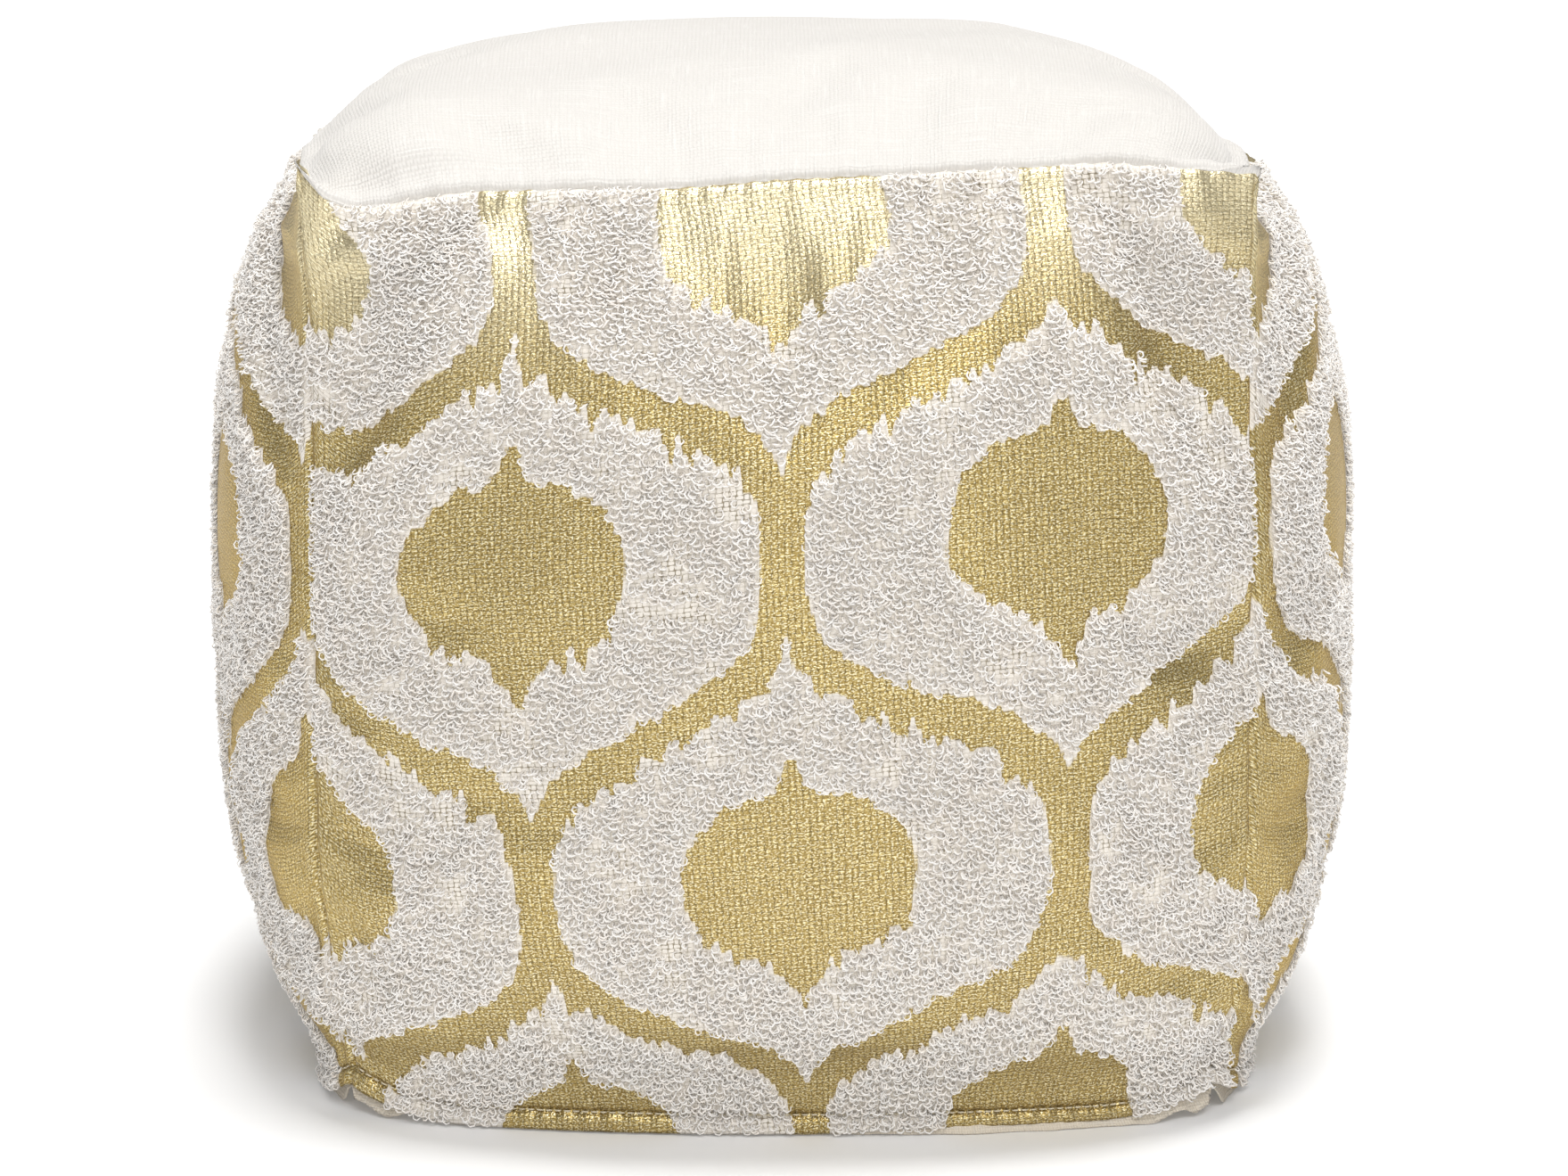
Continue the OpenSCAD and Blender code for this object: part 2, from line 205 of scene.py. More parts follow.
# How the beads have shifted: the sides stand out or in by these mm at these heights.
SAG_HEIGHTS = (0.0, 25.0, 60.0, 100.0, 140.0, 180.0, 230.0, 300.0, 360.0, 410.0, 450.0, 500.0)
SAG_OUT = (0.0, 0.5, 3.5, 4.5, 3.4, -0.5, -4.0, -5.0, -4.0, -3.5, -1.5, 0.0)
SAG_RADIUS = 200.0
LEAN_OUT = 5.0
# How much the dome lies above or below its even shape across the top, in mm.
DOME_PLACES = (-211, -196, -175, -155, -115, -75, -34, 0, 34, 75, 115, 157, 173, 194, 214)
DOME_LIFTS = (7.5, 12.0, 11.5, 8.4, 5.2, 2.4, 1.6, 0.2, 2.6, 3.6, 6.0, 6.8, 4.8, -0.4, -6.0)
DOME_HALF = 216
DOME_FIT = np.polyfit(np.array(DOME_PLACES) / DOME_HALF, DOME_LIFTS, 6)
# The front seam: how far its halves tilt apart, and how far it stands up and arches.
SEAM_TILT = 3.6
SEAM_UP = 0.8
SEAM_RISE = 4.4


def bead_sag(p):
    """A fuller foot, a slimmer waist and a slight lean, as a move."""
    x, y, z = (p[..., axis] for axis in range(3))
    flat = np.maximum(1, np.hypot(x, y))
    out = np.interp(z, SAG_HEIGHTS, SAG_OUT) * ramp(flat, 0, SAG_RADIUS)
    out = out - LEAN_OUT * ramp(z, 170, 230) ** 2 * np.clip(x / SAG_RADIUS, -0.2, 1)
    move = p * (out / flat)[..., None]
    dome = ramp(z, SEAM_Z - 8, 20) * np.polyval(DOME_FIT, np.clip(x / DOME_HALF, -1, 1))
    tilt = SEAM_TILT * np.tanh((x - 20) / 70) + SEAM_UP
    arch = SEAM_RISE * (1 - np.minimum(1, np.abs(x / CORNER_TOP)) ** 8)
    move[..., 2] = dome + hump(z - SEAM_Z, 45) * ramp(-y, 0, 150) * (tilt + arch)
    return move


def soft_wave(p, seed, size):
    """Smooth value from about -1 to 1, from a few sine waves."""
    rng = np.random.default_rng(seed)
    total = np.zeros(p.shape[:-1])
    for _ in range(6):
        direction = unit(rng.normal(size=3))
        phase = rng.uniform(0, TURN)
        stretch = rng.uniform(0.7, 1.4)
        total += np.sin(p @ direction * (TURN / (size * stretch)) + phase)
    return total / 3


def sunk(p):
    return p + bead_sag(p) + hand_folds(p)


def settle(p):
    """Adds the sag, the folds and a slight unevenness."""
    out = p / np.maximum(1, np.linalg.norm(p - [0, 0, 230], axis=-1))[..., None]
    uneven = 1.0 * soft_wave(p, 5, 210) + 0.4 * soft_wave(p, 9, 70)
    return sunk(p) + out * (uneven * ramp(p[..., 2], 30, 120))[..., None]


def read_at(grid, row, col):
    """Bilinear reading at fractional rows and columns."""
    i = np.clip(row.astype(int), 0, grid.shape[0] - 2)
    j = np.clip(col.astype(int), 0, grid.shape[1] - 2)
    up = row - i
    across = col - j
    if grid.ndim == 3:
        up = up[..., None]
        across = across[..., None]
    low = grid[i, j] * (1 - across) + grid[i, j + 1] * across
    high = grid[i + 1, j] * (1 - across) + grid[i + 1, j + 1] * across
    return low * (1 - up) + high * up


# Moves found by the cloth simulation: a grid for each side's number and one for the top.
settled = {}


def with_found_moves(p, part, a, b):
    """Adds the simulation's moves; a and b run from -1 to 1."""
    if part not in settled:
        return p
    rows, cols = settled[part].shape[:2]
    return p + read_at(settled[part], (b + 1) / 2 * (rows - 1), (a + 1) / 2 * (cols - 1))


def side_surface(k, u, v, depth, low=0.0):
    p = settle(quarter(side_rest(u, v, depth, low), k))
    return with_found_moves(p, k, u, 2 * np.maximum(v, 0) - 1)


def top_surface(u, w, depth):
    return with_found_moves(settle(top_rest(u, w, depth)), "top", u, w)


# ---- Meshes from grids ----


def placed(name, data):
    made = bpy.data.objects.new(name, data)
    bpy.context.scene.collection.objects.link(made)
    return made


def new_mesh(name, points, faces, materials):
    """An object from points in mm and faces of one kind."""
    mesh = bpy.data.meshes.new(name)
    points = np.ascontiguousarray(points.reshape(-1, 3) * MM, dtype=np.float32)
    faces = np.ascontiguousarray(faces, dtype=np.int32)
    count, size = faces.shape
    mesh.vertices.add(len(points))
    mesh.vertices.foreach_set("co", points.ravel())
    mesh.loops.add(count * size)
    mesh.loops.foreach_set("vertex_index", faces.ravel())
    mesh.polygons.add(count)
    mesh.polygons.foreach_set("loop_start", np.arange(count, dtype=np.int32) * size)
    mesh.polygons.foreach_set("use_smooth", np.full(count, True))
    mesh.update(calc_edges=True)
    for material in materials:
        mesh.materials.append(material)
    return placed(name, mesh)


def finish_piece(piece, slot, *nodes):
    """The piece rides with the cover and stands for these CAD nodes."""
    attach(piece, "root")
    if nodes:
        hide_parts(*nodes)


def quads(number):
    """Faces of a grid of point numbers."""
    corners = [number[:-1, :-1], number[:-1, 1:], number[1:, 1:], number[1:, :-1]]
    return np.stack(corners, -1).reshape(-1, 4)


def point_numbers(rows, cols, wrap=False):
    """Numbers of a grid's points; wrap repeats the first column."""
    number = np.arange(rows * cols).reshape(rows, cols)
    return np.concatenate([number, number[:, :1]], 1) if wrap else number


def shell(name, outer, inner, material, wrap=False):
    """A closed sheet between two grids; seen from outside, rows go up and columns to the right."""
    rows, cols = outer.shape[:2]
    back = rows * cols
    number = point_numbers(rows, cols, wrap)
    rims = [number[0], number[-1, ::-1]]
    if not wrap:
        rims += [number[:, -1], number[::-1, 0]]
    skin = quads(number)
    walls = [np.stack([rim[:-1] + back, rim[1:] + back, rim[1:], rim[:-1]], -1) for rim in rims]
    points = np.concatenate([outer.reshape(-1, 3), inner.reshape(-1, 3)])
    return new_mesh(name, points, np.concatenate([skin, skin[:, ::-1] + back] + walls), [material])


def ring_of(first, second, sides):
    """Directions round a line, from two directions across it."""
    angle = np.linspace(0, TURN, sides, endpoint=False)[:, None]
    return np.cos(angle) * first[..., None, :] + np.sin(angle) * second[..., None, :]


def tube_faces(rings, sides, count=1):
    """Triangles of closed tubes, each made of rings of points."""
    walls = quads(point_numbers(rings, sides, wrap=True))
    fan = np.arange(1, sides - 1)
    foot = np.stack([0 * fan, fan + 1, fan], -1)
    head = np.stack([0 * fan, fan, fan + 1], -1) + (rings - 1) * sides
    one = np.concatenate([walls[:, :3], walls[:, [0, 2, 3]], foot, head])
    return (one[None] + (np.arange(count) * rings * sides)[:, None, None]).reshape(-1, 3)


def tube(name, line, radius, material, closed=False, sides=8):
    """A round thread along a line of points."""
    if closed:
        along = unit(np.roll(line, -1, 0) - np.roll(line, 1, 0))
        faces = quads(point_numbers(len(line) + 1, sides, wrap=True)) % (len(line) * sides)
    else:
        along = unit(np.gradient(line, axis=0))
        faces = tube_faces(len(line), sides)
    steep = np.abs(along[:, 2:]) > 0.9
    first = unit(np.cross(along, np.where(steep, [1.0, 0, 0], [0, 0, 1.0])))
    ring = ring_of(first, np.cross(first, along), sides)
    return new_mesh(name, line[:, None] + ring * radius, faces, [material])


def add_attribute(ob, name, values):
    """Stores one number or one vector per vertex."""
    kind, key = ("FLOAT_VECTOR", "vector") if values.shape[-1] == 3 else ("FLOAT", "value")
    layer = ob.data.attributes.new(name, kind, "POINT")
    layer.data.foreach_set(key, np.ascontiguousarray(values, dtype=np.float32).ravel())


def cloth_vector(g, h):
    """A place on the cloth as the materials read it."""
    return np.stack([g * MM, h * MM, np.zeros_like(g)], -1)


def grid_normals(p):
    """Outward normals of such a grid."""
    return unit(np.cross(np.gradient(p, axis=1), np.gradient(p, axis=0)))


def run_lengths(p, axis=0):
    """Distance along a line of points or the lines of a grid."""
    steps = np.linalg.norm(np.diff(p, axis=axis), axis=-1)
    return np.insert(np.cumsum(steps, axis=axis), 0, 0, axis=axis)


# ---- The woven pattern: pile drops with a gold medallion each, on a gold net ----

PERIOD_X = 118.5
PERIOD_V = 145.75
FIRST_ROW = 126.0
NET_POWER = 2.6
BAND = 9.2
LEAN = 0.054
WARP_PITCH = 2.9
WEFT_PITCH = 2.1
# Per side: where the five columns of drops stand across the panel, and how far each is shifted up.
COLUMN_PLACES = {
    "front": (-236.0, -115.0, 1.0, 124.0, 232.0),
    "right": (-216.0, -106.0, 9.0, 127.0, 238.0),
    "back": (-224.0, -112.0, 5.0, 120.0, 234.0),
    "left": (-230.0, -118.0, -6.0, 106.0, 215.0),
}
COLUMN_SHIFTS = {
    "front": (-12.5, -9.5, 0.5, 8.0, 12.0),
    "right": (11.0, 10.0, 6.0, 3.0, 3.0),
    "back": (3.0, 0.0, -5.0, -8.0, -10.0),
    "left": (-10.0, -12.0, -11.0, -11.0, -7.0),
}
MEDALLION_HALF = 51.0
MEDALLION_RISE = 41.0
MEDALLION_TOP = 62.0
MEDALLION_FOOT = 56.5
MEDALLION_LIFT = 4.0
MEDALLION_POWER = 2.2
# How much the swollen cloth is drawn out and shifted sideways, at heights along it.
STRETCH_PLACES = (0.0, 120.0, 270.0, 442.0)
STRETCH = (-0.025, 0.01, 0.043, 0.035)
DRIFT = (0.0, 1.5, 0.0, -9.0)


def net_width(dy):
    """Half width of a drop's cell at height dy."""
    q = np.clip(np.abs(dy) / PERIOD_V, 0, 1)
    return PERIOD_X * (1 - q**NET_POWER / (q**NET_POWER + (1 - q) ** NET_POWER))


def medallion_width(dy):
    """Half width of the medallion at height dy."""
    t = np.clip(np.abs(dy - MEDALLION_LIFT) / MEDALLION_RISE, 0, 1)
    body = MEDALLION_HALF * (1 - t**MEDALLION_POWER) ** (1 / MEDALLION_POWER)
    end = np.where(dy > 0, MEDALLION_TOP, MEDALLION_FOOT)
    s = np.clip((end - np.abs(dy)) / (end - 32), 0, 1)
    tip = np.where(s > 0, 2.2 + 17 * s**1.6, 0)
    return np.maximum(body, tip)


def beyond(width, dx, dy):
    """Distance outside an outline with this half width."""
    slope = (width(dy + 1) - width(dy - 1)) / 2
    return (np.abs(dx) - width(dy)) / np.sqrt(1 + slope**2)


def drop_field(dx, dy):
    """Distance inside a drop's outline, positive within it."""
    q = np.abs(dy) / PERIOD_V
    band = BAND - 3.2 * hump(q - 0.74, 0.07)
    return np.where(q < 1, -beyond(net_width, dx, dy) - band, -BAND)


def medallion_field(dx, dy):
    """Distance outside the medallion, negative within it."""
    level = (dy < MEDALLION_TOP) & (dy > -MEDALLION_FOOT)
    return np.where(level, beyond(medallion_width, dx, dy), 6.0)


def plain_field(g, h):
    """Positive in the pile and negative in the gold."""
    best = np.full(g.shape, -BAND)
    for i in range(-3, 4):
        for j in range(i % 2 - 2, 5, 2):
            dx = g - i * PERIOD_X
            dy = h - FIRST_ROW - j * PERIOD_V
            best = np.maximum(best, np.minimum(drop_field(dx, dy), medallion_field(dx, dy)))
    return best


def value_noise(x, y, seed):
    """Smooth noise from -1 to 1 on a unit lattice."""
    size = 512
    table = np.random.default_rng(seed).uniform(-1, 1, (size, size))
    i, j = (np.floor(place).astype(int) for place in (x, y))
    fx, fy = eased(x - i), eased(y - j)
    pairs = [(table[i % size, b % size], table[(i + 1) % size, b % size]) for b in (j, j + 1)]
    low, high = (left * (1 - fx) + right * fx for left, right in pairs)
    return low * (1 - fy) + high * fy


def cloth_coordinates(side, x, v):
    """Places along weft (g) and warp (h), and the pattern's column place."""
    g = x / (1 + np.interp(v, STRETCH_PLACES, STRETCH)) + LEAN * (v - 230)
    g = g + np.interp(v, STRETCH_PLACES, DRIFT)
    places = np.array(COLUMN_PLACES[side])
    column = np.interp(g, places, np.arange(-2, 3) * PERIOD_X)
    column = column + np.minimum(0, g - places[0]) + np.maximum(0, g - places[-1])
    fit = np.polyfit(places / PANEL_HALF, COLUMN_SHIFTS[side], 4)
    h = v - np.polyval(fit, np.clip(g / PANEL_HALF, -1.05, 1.05))
    return g, h, column


def pile_field(side, g, h, column):
    """The pattern with its edges ragged, as in ikat weaving."""
    seed = 40 + SIDES.index(side)
    yarn = np.floor(g / WARP_PITCH)
    column = column + (yarn + 0.5) * WARP_PITCH - g
    down = plain_field(column, h - 3) - plain_field(column, h + 3)
    ragged = 0.5 + 0.5 * np.tanh(down / 2)
    fine = value_noise(yarn * 7.31, h / 34, seed)
    pairs = value_noise(np.floor(yarn / 2) * 5.17, h / 41, seed + 10)
    wide = value_noise(yarn / 9.0, h / 30, seed + 20)
    reach = 4.2 + 5.5 * ragged
    spike = np.maximum(0, fine - 0.35) * 9 * ragged
    shift = reach * (0.62 * fine + 0.38 * pairs) + 2.0 * wide + spike
    return plain_field(column, h + shift)


# ---- Materials ----

GOLD = (0.46, 0.336, 0.118)
# Colour of the painted highlight on the crowns of the weft floats.
GOLD_CROWN_HIGHLIGHT = (0.79, 0.64, 0.29)
GOLD_DEEP = (0.22, 0.15, 0.045)
GOLD_GLINT = (1.0, 0.94, 0.68)
GOLD_EDGE = (0.6, 0.45, 0.2)
# Colour of the painted highlight on the gold near the top seam.
GOLD_TOP_HIGHLIGHT = (0.86, 0.80, 0.60)
# Heights along the cloth, in metres, between which a painted highlight makes the gold paler towards the
# top seam.
TOP_HIGHLIGHT_FROM = 0.345
TOP_HIGHLIGHT_TO = 0.435
HOLE = (0.13, 0.10, 0.045)
PILE_GROUND = (0.86, 0.81, 0.74)
GROUND_SHADE = (0.66, 0.60, 0.51)
GROUND_HOLE = (0.2, 0.16, 0.09)
IVORY = (0.72, 0.692, 0.652)
IVORY_SHADE = (0.70, 0.665, 0.61)
CREAM = (0.78, 0.70, 0.58)
CREAM_SHADE = (0.6, 0.52, 0.4)
SLUB = (0.86, 0.84, 0.80)
YARN_TONES = {
    "light": (0.995, 0.965, 0.925),
    "white": (0.985, 0.945, 0.895),
    "warm": (0.97, 0.91, 0.84),
    "grey": (0.94, 0.90, 0.85),
}
# How far a weave wanders, in metres.
WANDER = 0.0011


def plug(tree, value, socket):
    """Sets an input, or links an output to it."""
    if isinstance(value, bpy.types.NodeSocket):
        tree.links.new(value, socket)
    elif socket.type == "RGBA":
        socket.default_value = (*value, 1.0)
    else:
        socket.default_value = value


def add_node(tree, kind, inputs, **settings):
    """Adds a node and gives its outputs."""
    made = tree.nodes.new("ShaderNode" + kind)
    for key, value in settings.items():
        setattr(made, key, value)
    for key, value in inputs.items():
        plug(tree, value, made.inputs[key])
    return made.outputs


class Graph:
    """A material's nodes; arguments are numbers, colours or sockets."""

    def __init__(self, name, roughness=0.8, metallic=0.0, sheen=0.0):
        self.material = bpy.data.materials.new(name)
        self.material.use_nodes = True
        self.tree = self.material.node_tree
        self.put({"Roughness": roughness, "Metallic": metallic, "Sheen Weight": sheen})

    def put(self, values):
        """Sets or links inputs of the shader."""
        for key, value in values.items():
            plug(self.tree, value, self.tree.nodes["Principled BSDF"].inputs[key])

    def node(self, kind, inputs, **settings):
        return add_node(self.tree, kind, inputs, **settings)

    def math(self, operation, a, b=0.0):
        return self.node("Math", {0: a, 1: b}, operation=operation)[0]

    def times(self, a, b):
        return self.math("MULTIPLY", a, b)

    def mix(self, factor, a, b):
        return self.node("Mix", {0: factor, 6: a, 7: b}, data_type="RGBA")[2]

    def tint(self, colour, mask, strength, other):
        """The colour turned towards the other one where the mask is high."""
        return self.mix(self.times(mask, strength), colour, other)

    def blend(self, factor, a, b):
        return self.node("Mix", {0: factor, 2: a, 3: b}, data_type="FLOAT")[0]

    def step(self, value, low, high):
        """Smooth 0 to 1 as value goes from low to high."""
        inputs = {"Value": value, "From Min": low, "From Max": high}
        return self.node("MapRange", inputs, interpolation_type="SMOOTHSTEP")[0]

    def noise(self, vector, scale, detail=2.0, roughness=0.5):
        inputs = {"Vector": vector, "Scale": scale, "Detail": detail, "Roughness": roughness}
        return self.node("TexNoise", inputs)[0]

    def streaks(self, vector, scales, detail=2.0):
        """Noise with its own scale along each axis."""
        return self.noise(self.node("Mapping", {"Vector": vector, "Scale": scales})[0], 1.0, detail)

    def cells(self, scale):
        """Distance from the middle of the nearest of many cells."""
        return self.node("TexVoronoi", {"Vector": self.object_place(), "Scale": scale})[0]

    def stored(self, name, output="Fac"):
        """A value stored on the mesh."""
        return self.node("Attribute", {}, attribute_name=name)[output]

    def object_place(self):
        return self.node("TexCoord", {})["Object"]

    def cloth_place(self, scale):
        """The place on the cloth, moved by noise so that a weave isn't ruled."""
        place = self.stored("cloth", "Vector")
        shake = self.node("TexNoise", {"Vector": place, "Scale": scale})["Color"]
        shake = self.node("VectorMath", {0: shake, 1: (0.5, 0.5, 0.5)}, operation="SUBTRACT")[0]
        shake = self.node("VectorMath", {0: shake, "Scale": WANDER}, operation="SCALE")[0]
        return self.node("VectorMath", {0: place, 1: shake}, operation="ADD")[0]

    def weave(self, vector, warp, weft):
        """Height of a plain weave with these pitches in mm, from 0 to 1."""
        crown = 0.6
        under = 0.55
        split = self.node("SeparateXYZ", {0: vector})
        x = self.math("DIVIDE", split[0], warp * MM)
        y = self.math("DIVIDE", split[1], weft * MM)
        waves = [self.math("SINE", self.times(place, math.pi)) for place in (x, y)]
        across, along = (self.math("ABSOLUTE", wave) for wave in waves)
        cell = self.math("ADD", self.math("FLOOR", x), self.math("FLOOR", y))
        odd = self.math("ABSOLUTE", self.math("MODULO", cell, 2.0))
        warp_up = self.times(self.math("POWER", across, crown), self.blend(odd, under, 1.0))
        weft_up = self.times(self.math("POWER", along, crown), self.blend(odd, 1.0, under))
        warp_up = self.times(warp_up, self.blend(odd, 1.0, along))
        weft_up = self.times(weft_up, self.blend(odd, across, 1.0))
        return self.math("MAXIMUM", warp_up, weft_up)

    def finish(self, colour, relief, distance, strength=1.0, **others):
        """Plugs in the colour, the bump and other inputs."""
        inputs = {"Height": relief, "Distance": distance, "Strength": strength}
        bump = self.node("Bump", inputs)[0]
        self.put({"Base Color": colour, "Normal": bump, **others})
        return self.material


def side_material():
    """Gold-printed basket weave, white under the pile."""
    g = Graph("gold_print_and_pile_ground", sheen=0.05)
    cloth = g.cloth_place(160.0)
    height = g.weave(cloth, WARP_PITCH, WEFT_PITCH)
    floats = g.streaks(cloth, (230, 620, 1), 1.0)
    flecks = g.streaks(cloth, (900, 1500, 1), 1.0)
    patches = g.noise(cloth, 22.0)
    worn = g.noise(cloth, 420.0, 3.0, 0.6)
    hollow = g.step(height, 0.42, 0.14)
    gap = g.times(hollow, g.step(worn, 0.44, 0.56))
    # Painted highlight: the gold is made paler high on each side, where the lights glint on it.
    top_highlight = g.step(g.node("SeparateXYZ", {0: cloth})[1], TOP_HIGHLIGHT_FROM, TOP_HIGHLIGHT_TO)
    # Painted highlight: the crowns of the weft floats are lightened as if they caught the light.
    crown = g.times(g.step(height, 0.45, 0.8), g.step(floats, 0.46, 0.6))
    gold = g.tint(GOLD, g.step(patches, 0.35, 0.7), 0.25, GOLD_DEEP)
    gold = g.tint(gold, crown, 0.75, GOLD_CROWN_HIGHLIGHT)
    gold = g.tint(gold, g.step(flecks, 0.54, 0.61), 0.75, GOLD_GLINT)
    gold = g.tint(gold, g.step(flecks, 0.45, 0.37), 0.8, GOLD_DEEP)
    gold = g.tint(gold, top_highlight, 0.48, GOLD_TOP_HIGHLIGHT)
    gold = g.tint(gold, hollow, 0.25, GOLD_DEEP)
    gold = g.tint(gold, gap, 0.9, HOLE)
    hole = g.times(g.step(height, 0.55, 0.25), g.step(worn, 0.38, 0.5))
    hole = g.times(hole, g.blend(g.stored("bare"), 0.15, 1.0))
    white = g.tint(PILE_GROUND, hollow, 0.5, GROUND_SHADE)
    white = g.tint(white, hole, 0.85, GROUND_HOLE)
    mask = g.step(g.stored("pile"), -0.4, 0.4)
    relief = g.math("ADD", g.times(height, 0.7), g.times(floats, 0.8))
    relief = g.math("ADD", relief, g.times(flecks, 1.3))
    g.put({"Specular Tint": GOLD_EDGE})
    return g.finish(
        g.mix(mask, gold, white), relief, 0.00026,
        Metallic=g.times(g.math("SUBTRACT", 1.0, mask), g.blend(gap, 0.8, 0.1)),
        Roughness=g.blend(mask, g.blend(worn, 0.24, 0.4), 0.9),
    )


def yarn_material(name, colour):
    """Pile yarn in one plain tone."""
    g = Graph(name, roughness=0.9, sheen=0.5)
    return g.finish(colour, g.streaks(g.object_place(), (1500, 1500, 1500)), 0.00025, 0.8)


def cotton_material(name, colour, shade, slub, pitch):
    """Woven cotton with thick and thin places in its yarns."""
    g = Graph(name, roughness=0.88, sheen=0.15)
    cloth = g.cloth_place(140.0)
    height = g.weave(cloth, pitch * 0.8, pitch)
    thick = [g.step(g.streaks(cloth, scales), 0.52, 0.75) for scales in ((30, 700, 1), (700, 30, 1))]
    slubs = g.math("MAXIMUM", *thick)
    colour = g.tint(colour, g.step(height, 0.45, 0.1), 0.55, shade)
    colour = g.tint(colour, slubs, slub, SLUB)
    relief = g.math("ADD", height, g.times(slubs, 0.5))
    return g.finish(colour, relief, 0.0003, Roughness=g.blend(slubs, 0.92, 0.8))


def thread_material():
    """Two-ply sewing thread."""
    g = Graph("sewing_thread", roughness=0.6, sheen=0.2)
    inputs = {"Vector": g.object_place(), "Scale": 700.0, "Distortion": 2.0}
    ply = g.node("TexWave", inputs, wave_type="BANDS", bands_direction="DIAGONAL")[1]
    return g.finish(g.mix(ply, (0.62, 0.53, 0.36), (0.84, 0.77, 0.6)), ply, 0.0001)


def metal_material():
    """Nickel plate with fine scratches."""
    g = Graph("nickel_plate", metallic=1.0)
    place = g.object_place()
    scratches = g.streaks(place, (300, 2600, 2600), 3.0)
    spots = g.step(g.noise(place, 380.0, 3.0), 0.4, 0.7)
    colour = g.mix(spots, (0.66, 0.64, 0.6), (0.5, 0.48, 0.44))
    return g.finish(colour, scratches, 0.00002, Roughness=g.blend(scratches, 0.22, 0.42))


def tape_material():
    """Fine twill zip tape."""
    g = Graph("zip_tape_twill", roughness=0.85, sheen=0.1)
    height = g.weave(g.object_place(), 0.9, 0.7)
    return g.finish(g.mix(height, (0.55, 0.48, 0.38), (0.8, 0.74, 0.63)), height, 0.00012)


def teeth_material():
    """Moulded resin teeth."""
    g = Graph("moulded_teeth", roughness=0.35)
    speck = g.noise(g.object_place(), 900.0, 3.0)
    colour = g.mix(speck, (0.7, 0.64, 0.52), (0.8, 0.74, 0.62))
    return g.finish(colour, speck, 0.00004, Roughness=g.blend(speck, 0.3, 0.5))


def bag_material():
    """White non-woven bag cloth."""
    g = Graph("inner_bag_cloth", roughness=0.9)
    cells = g.cells(480.0)
    colour = g.mix(g.step(cells, 0.1, 0.6), (0.7, 0.7, 0.69), (0.86, 0.86, 0.84))
    return g.finish(colour, cells, 0.0002)


def bead_material():
    """Packed foam beads."""
    g = Graph("foam_beads", roughness=0.7)
    cells = g.cells(230.0)
    # Painted shade: each bead darkens towards its edge, into the gaps between beads.
    colour = g.mix(g.step(cells, 0.35, 0.75), (0.93, 0.93, 0.93), (0.6, 0.6, 0.6))
    return g.finish(colour, g.math("SUBTRACT", 1.0, cells), 0.002)


# ---- Cover: the side panels ----

EDGE_STEPS = np.array([0.0, 0.5, 1.1, 1.9])
COLUMN_STEP = 1.46
ROW_STEP = 1.78
HEM_ROWS = np.array([-1.0, -0.86, -0.7, -0.55, -0.4, -0.28, -0.18, -0.1, -0.04])
SEAM_FALL = 3.4
SEAM_WIDTH = 2.6
CREASE_FALL = 1.7
CORNER_TUCK = 11.0
CORNER_LOWERED = 22.0
HEM_ROLL = 0.9
# How far the turned edges go inwards and down.
TOP_TURN = (2.0, 4.0)
HEM_TURN = (1.5, -3.0)
SIDE_TURN = (4.5, 3.0)
# Over the right half of each side, in mm: how far the tape stands out beyond the hem, and how
# much the hem lifts off the floor, which shows the tape.
LOOSE_TAPE = (4.0, 0.5, 1.5, 0.0)
HEM_LIFT = (2.4, 0.6, 1.2, 0.3)


def spread(length, step):
    """Places from 0 to length, even but closer at both ends."""
    count = int(round((length - 2 * EDGE_STEPS[-1]) / step))
    middle = np.linspace(EDGE_STEPS[-1], length - EDGE_STEPS[-1], count + 1)
    return np.concatenate([EDGE_STEPS[:-1], middle, (length - EDGE_STEPS[:-1])[::-1]])


def even_places(distance, half, curve):
    """Turns distances from a curve's middle into its t, from -1 to 1."""
    fine = np.linspace(-1, 1, 801)
    run = run_lengths(curve(fine))
    return np.interp(distance, (run / run[-1] * 2 - 1) * half, fine)


def side_grid(k):
    """Points of the fine grid of side k, their u, v and mm along the cloth."""
    x = spread(2 * PANEL_HALF, COLUMN_STEP) - PANEL_HALF
    u = even_places(x, PANEL_HALF, lambda t: side_rest(t, 0.5, FACE_DEPTH))
    y = spread(PANEL_RISE, ROW_STEP) - PANEL_RISE / 2
    v = even_places(y, PANEL_RISE / 2, lambda t: side_rest(0.0, (t + 1) / 2, FACE_DEPTH))
    uu, vv = np.meshgrid(u, np.concatenate([HEM_ROWS, (v + 1) / 2]))
    p = side_surface(k, uu, vv, FACE_DEPTH)
    hem = len(HEM_ROWS)
    across = run_lengths(p, 1)
    xs = (across / across[:, -1:] * 2 - 1) * PANEL_HALF
    up = run_lengths(p[hem:])
    ys = np.concatenate([vv[:hem] * (CREASE_Z - HEM_Z), up / up[-1:] * PANEL_RISE])
    return p, uu, vv, xs, ys


def puckers(along, gap, height, pitch, wander, width):
    """Small waves of the cloth beside a row of stitches."""
    return height * np.sin(along * TURN / pitch + 2 * np.sin(along / wander)) * hump(gap, width)


def right_half(u):
    """1 over the right half of a side, fading out at its ends."""
    return np.clip((u - 0.05) * 3, 0, 1) * np.clip((0.99 - u) * 10, 0, 1)


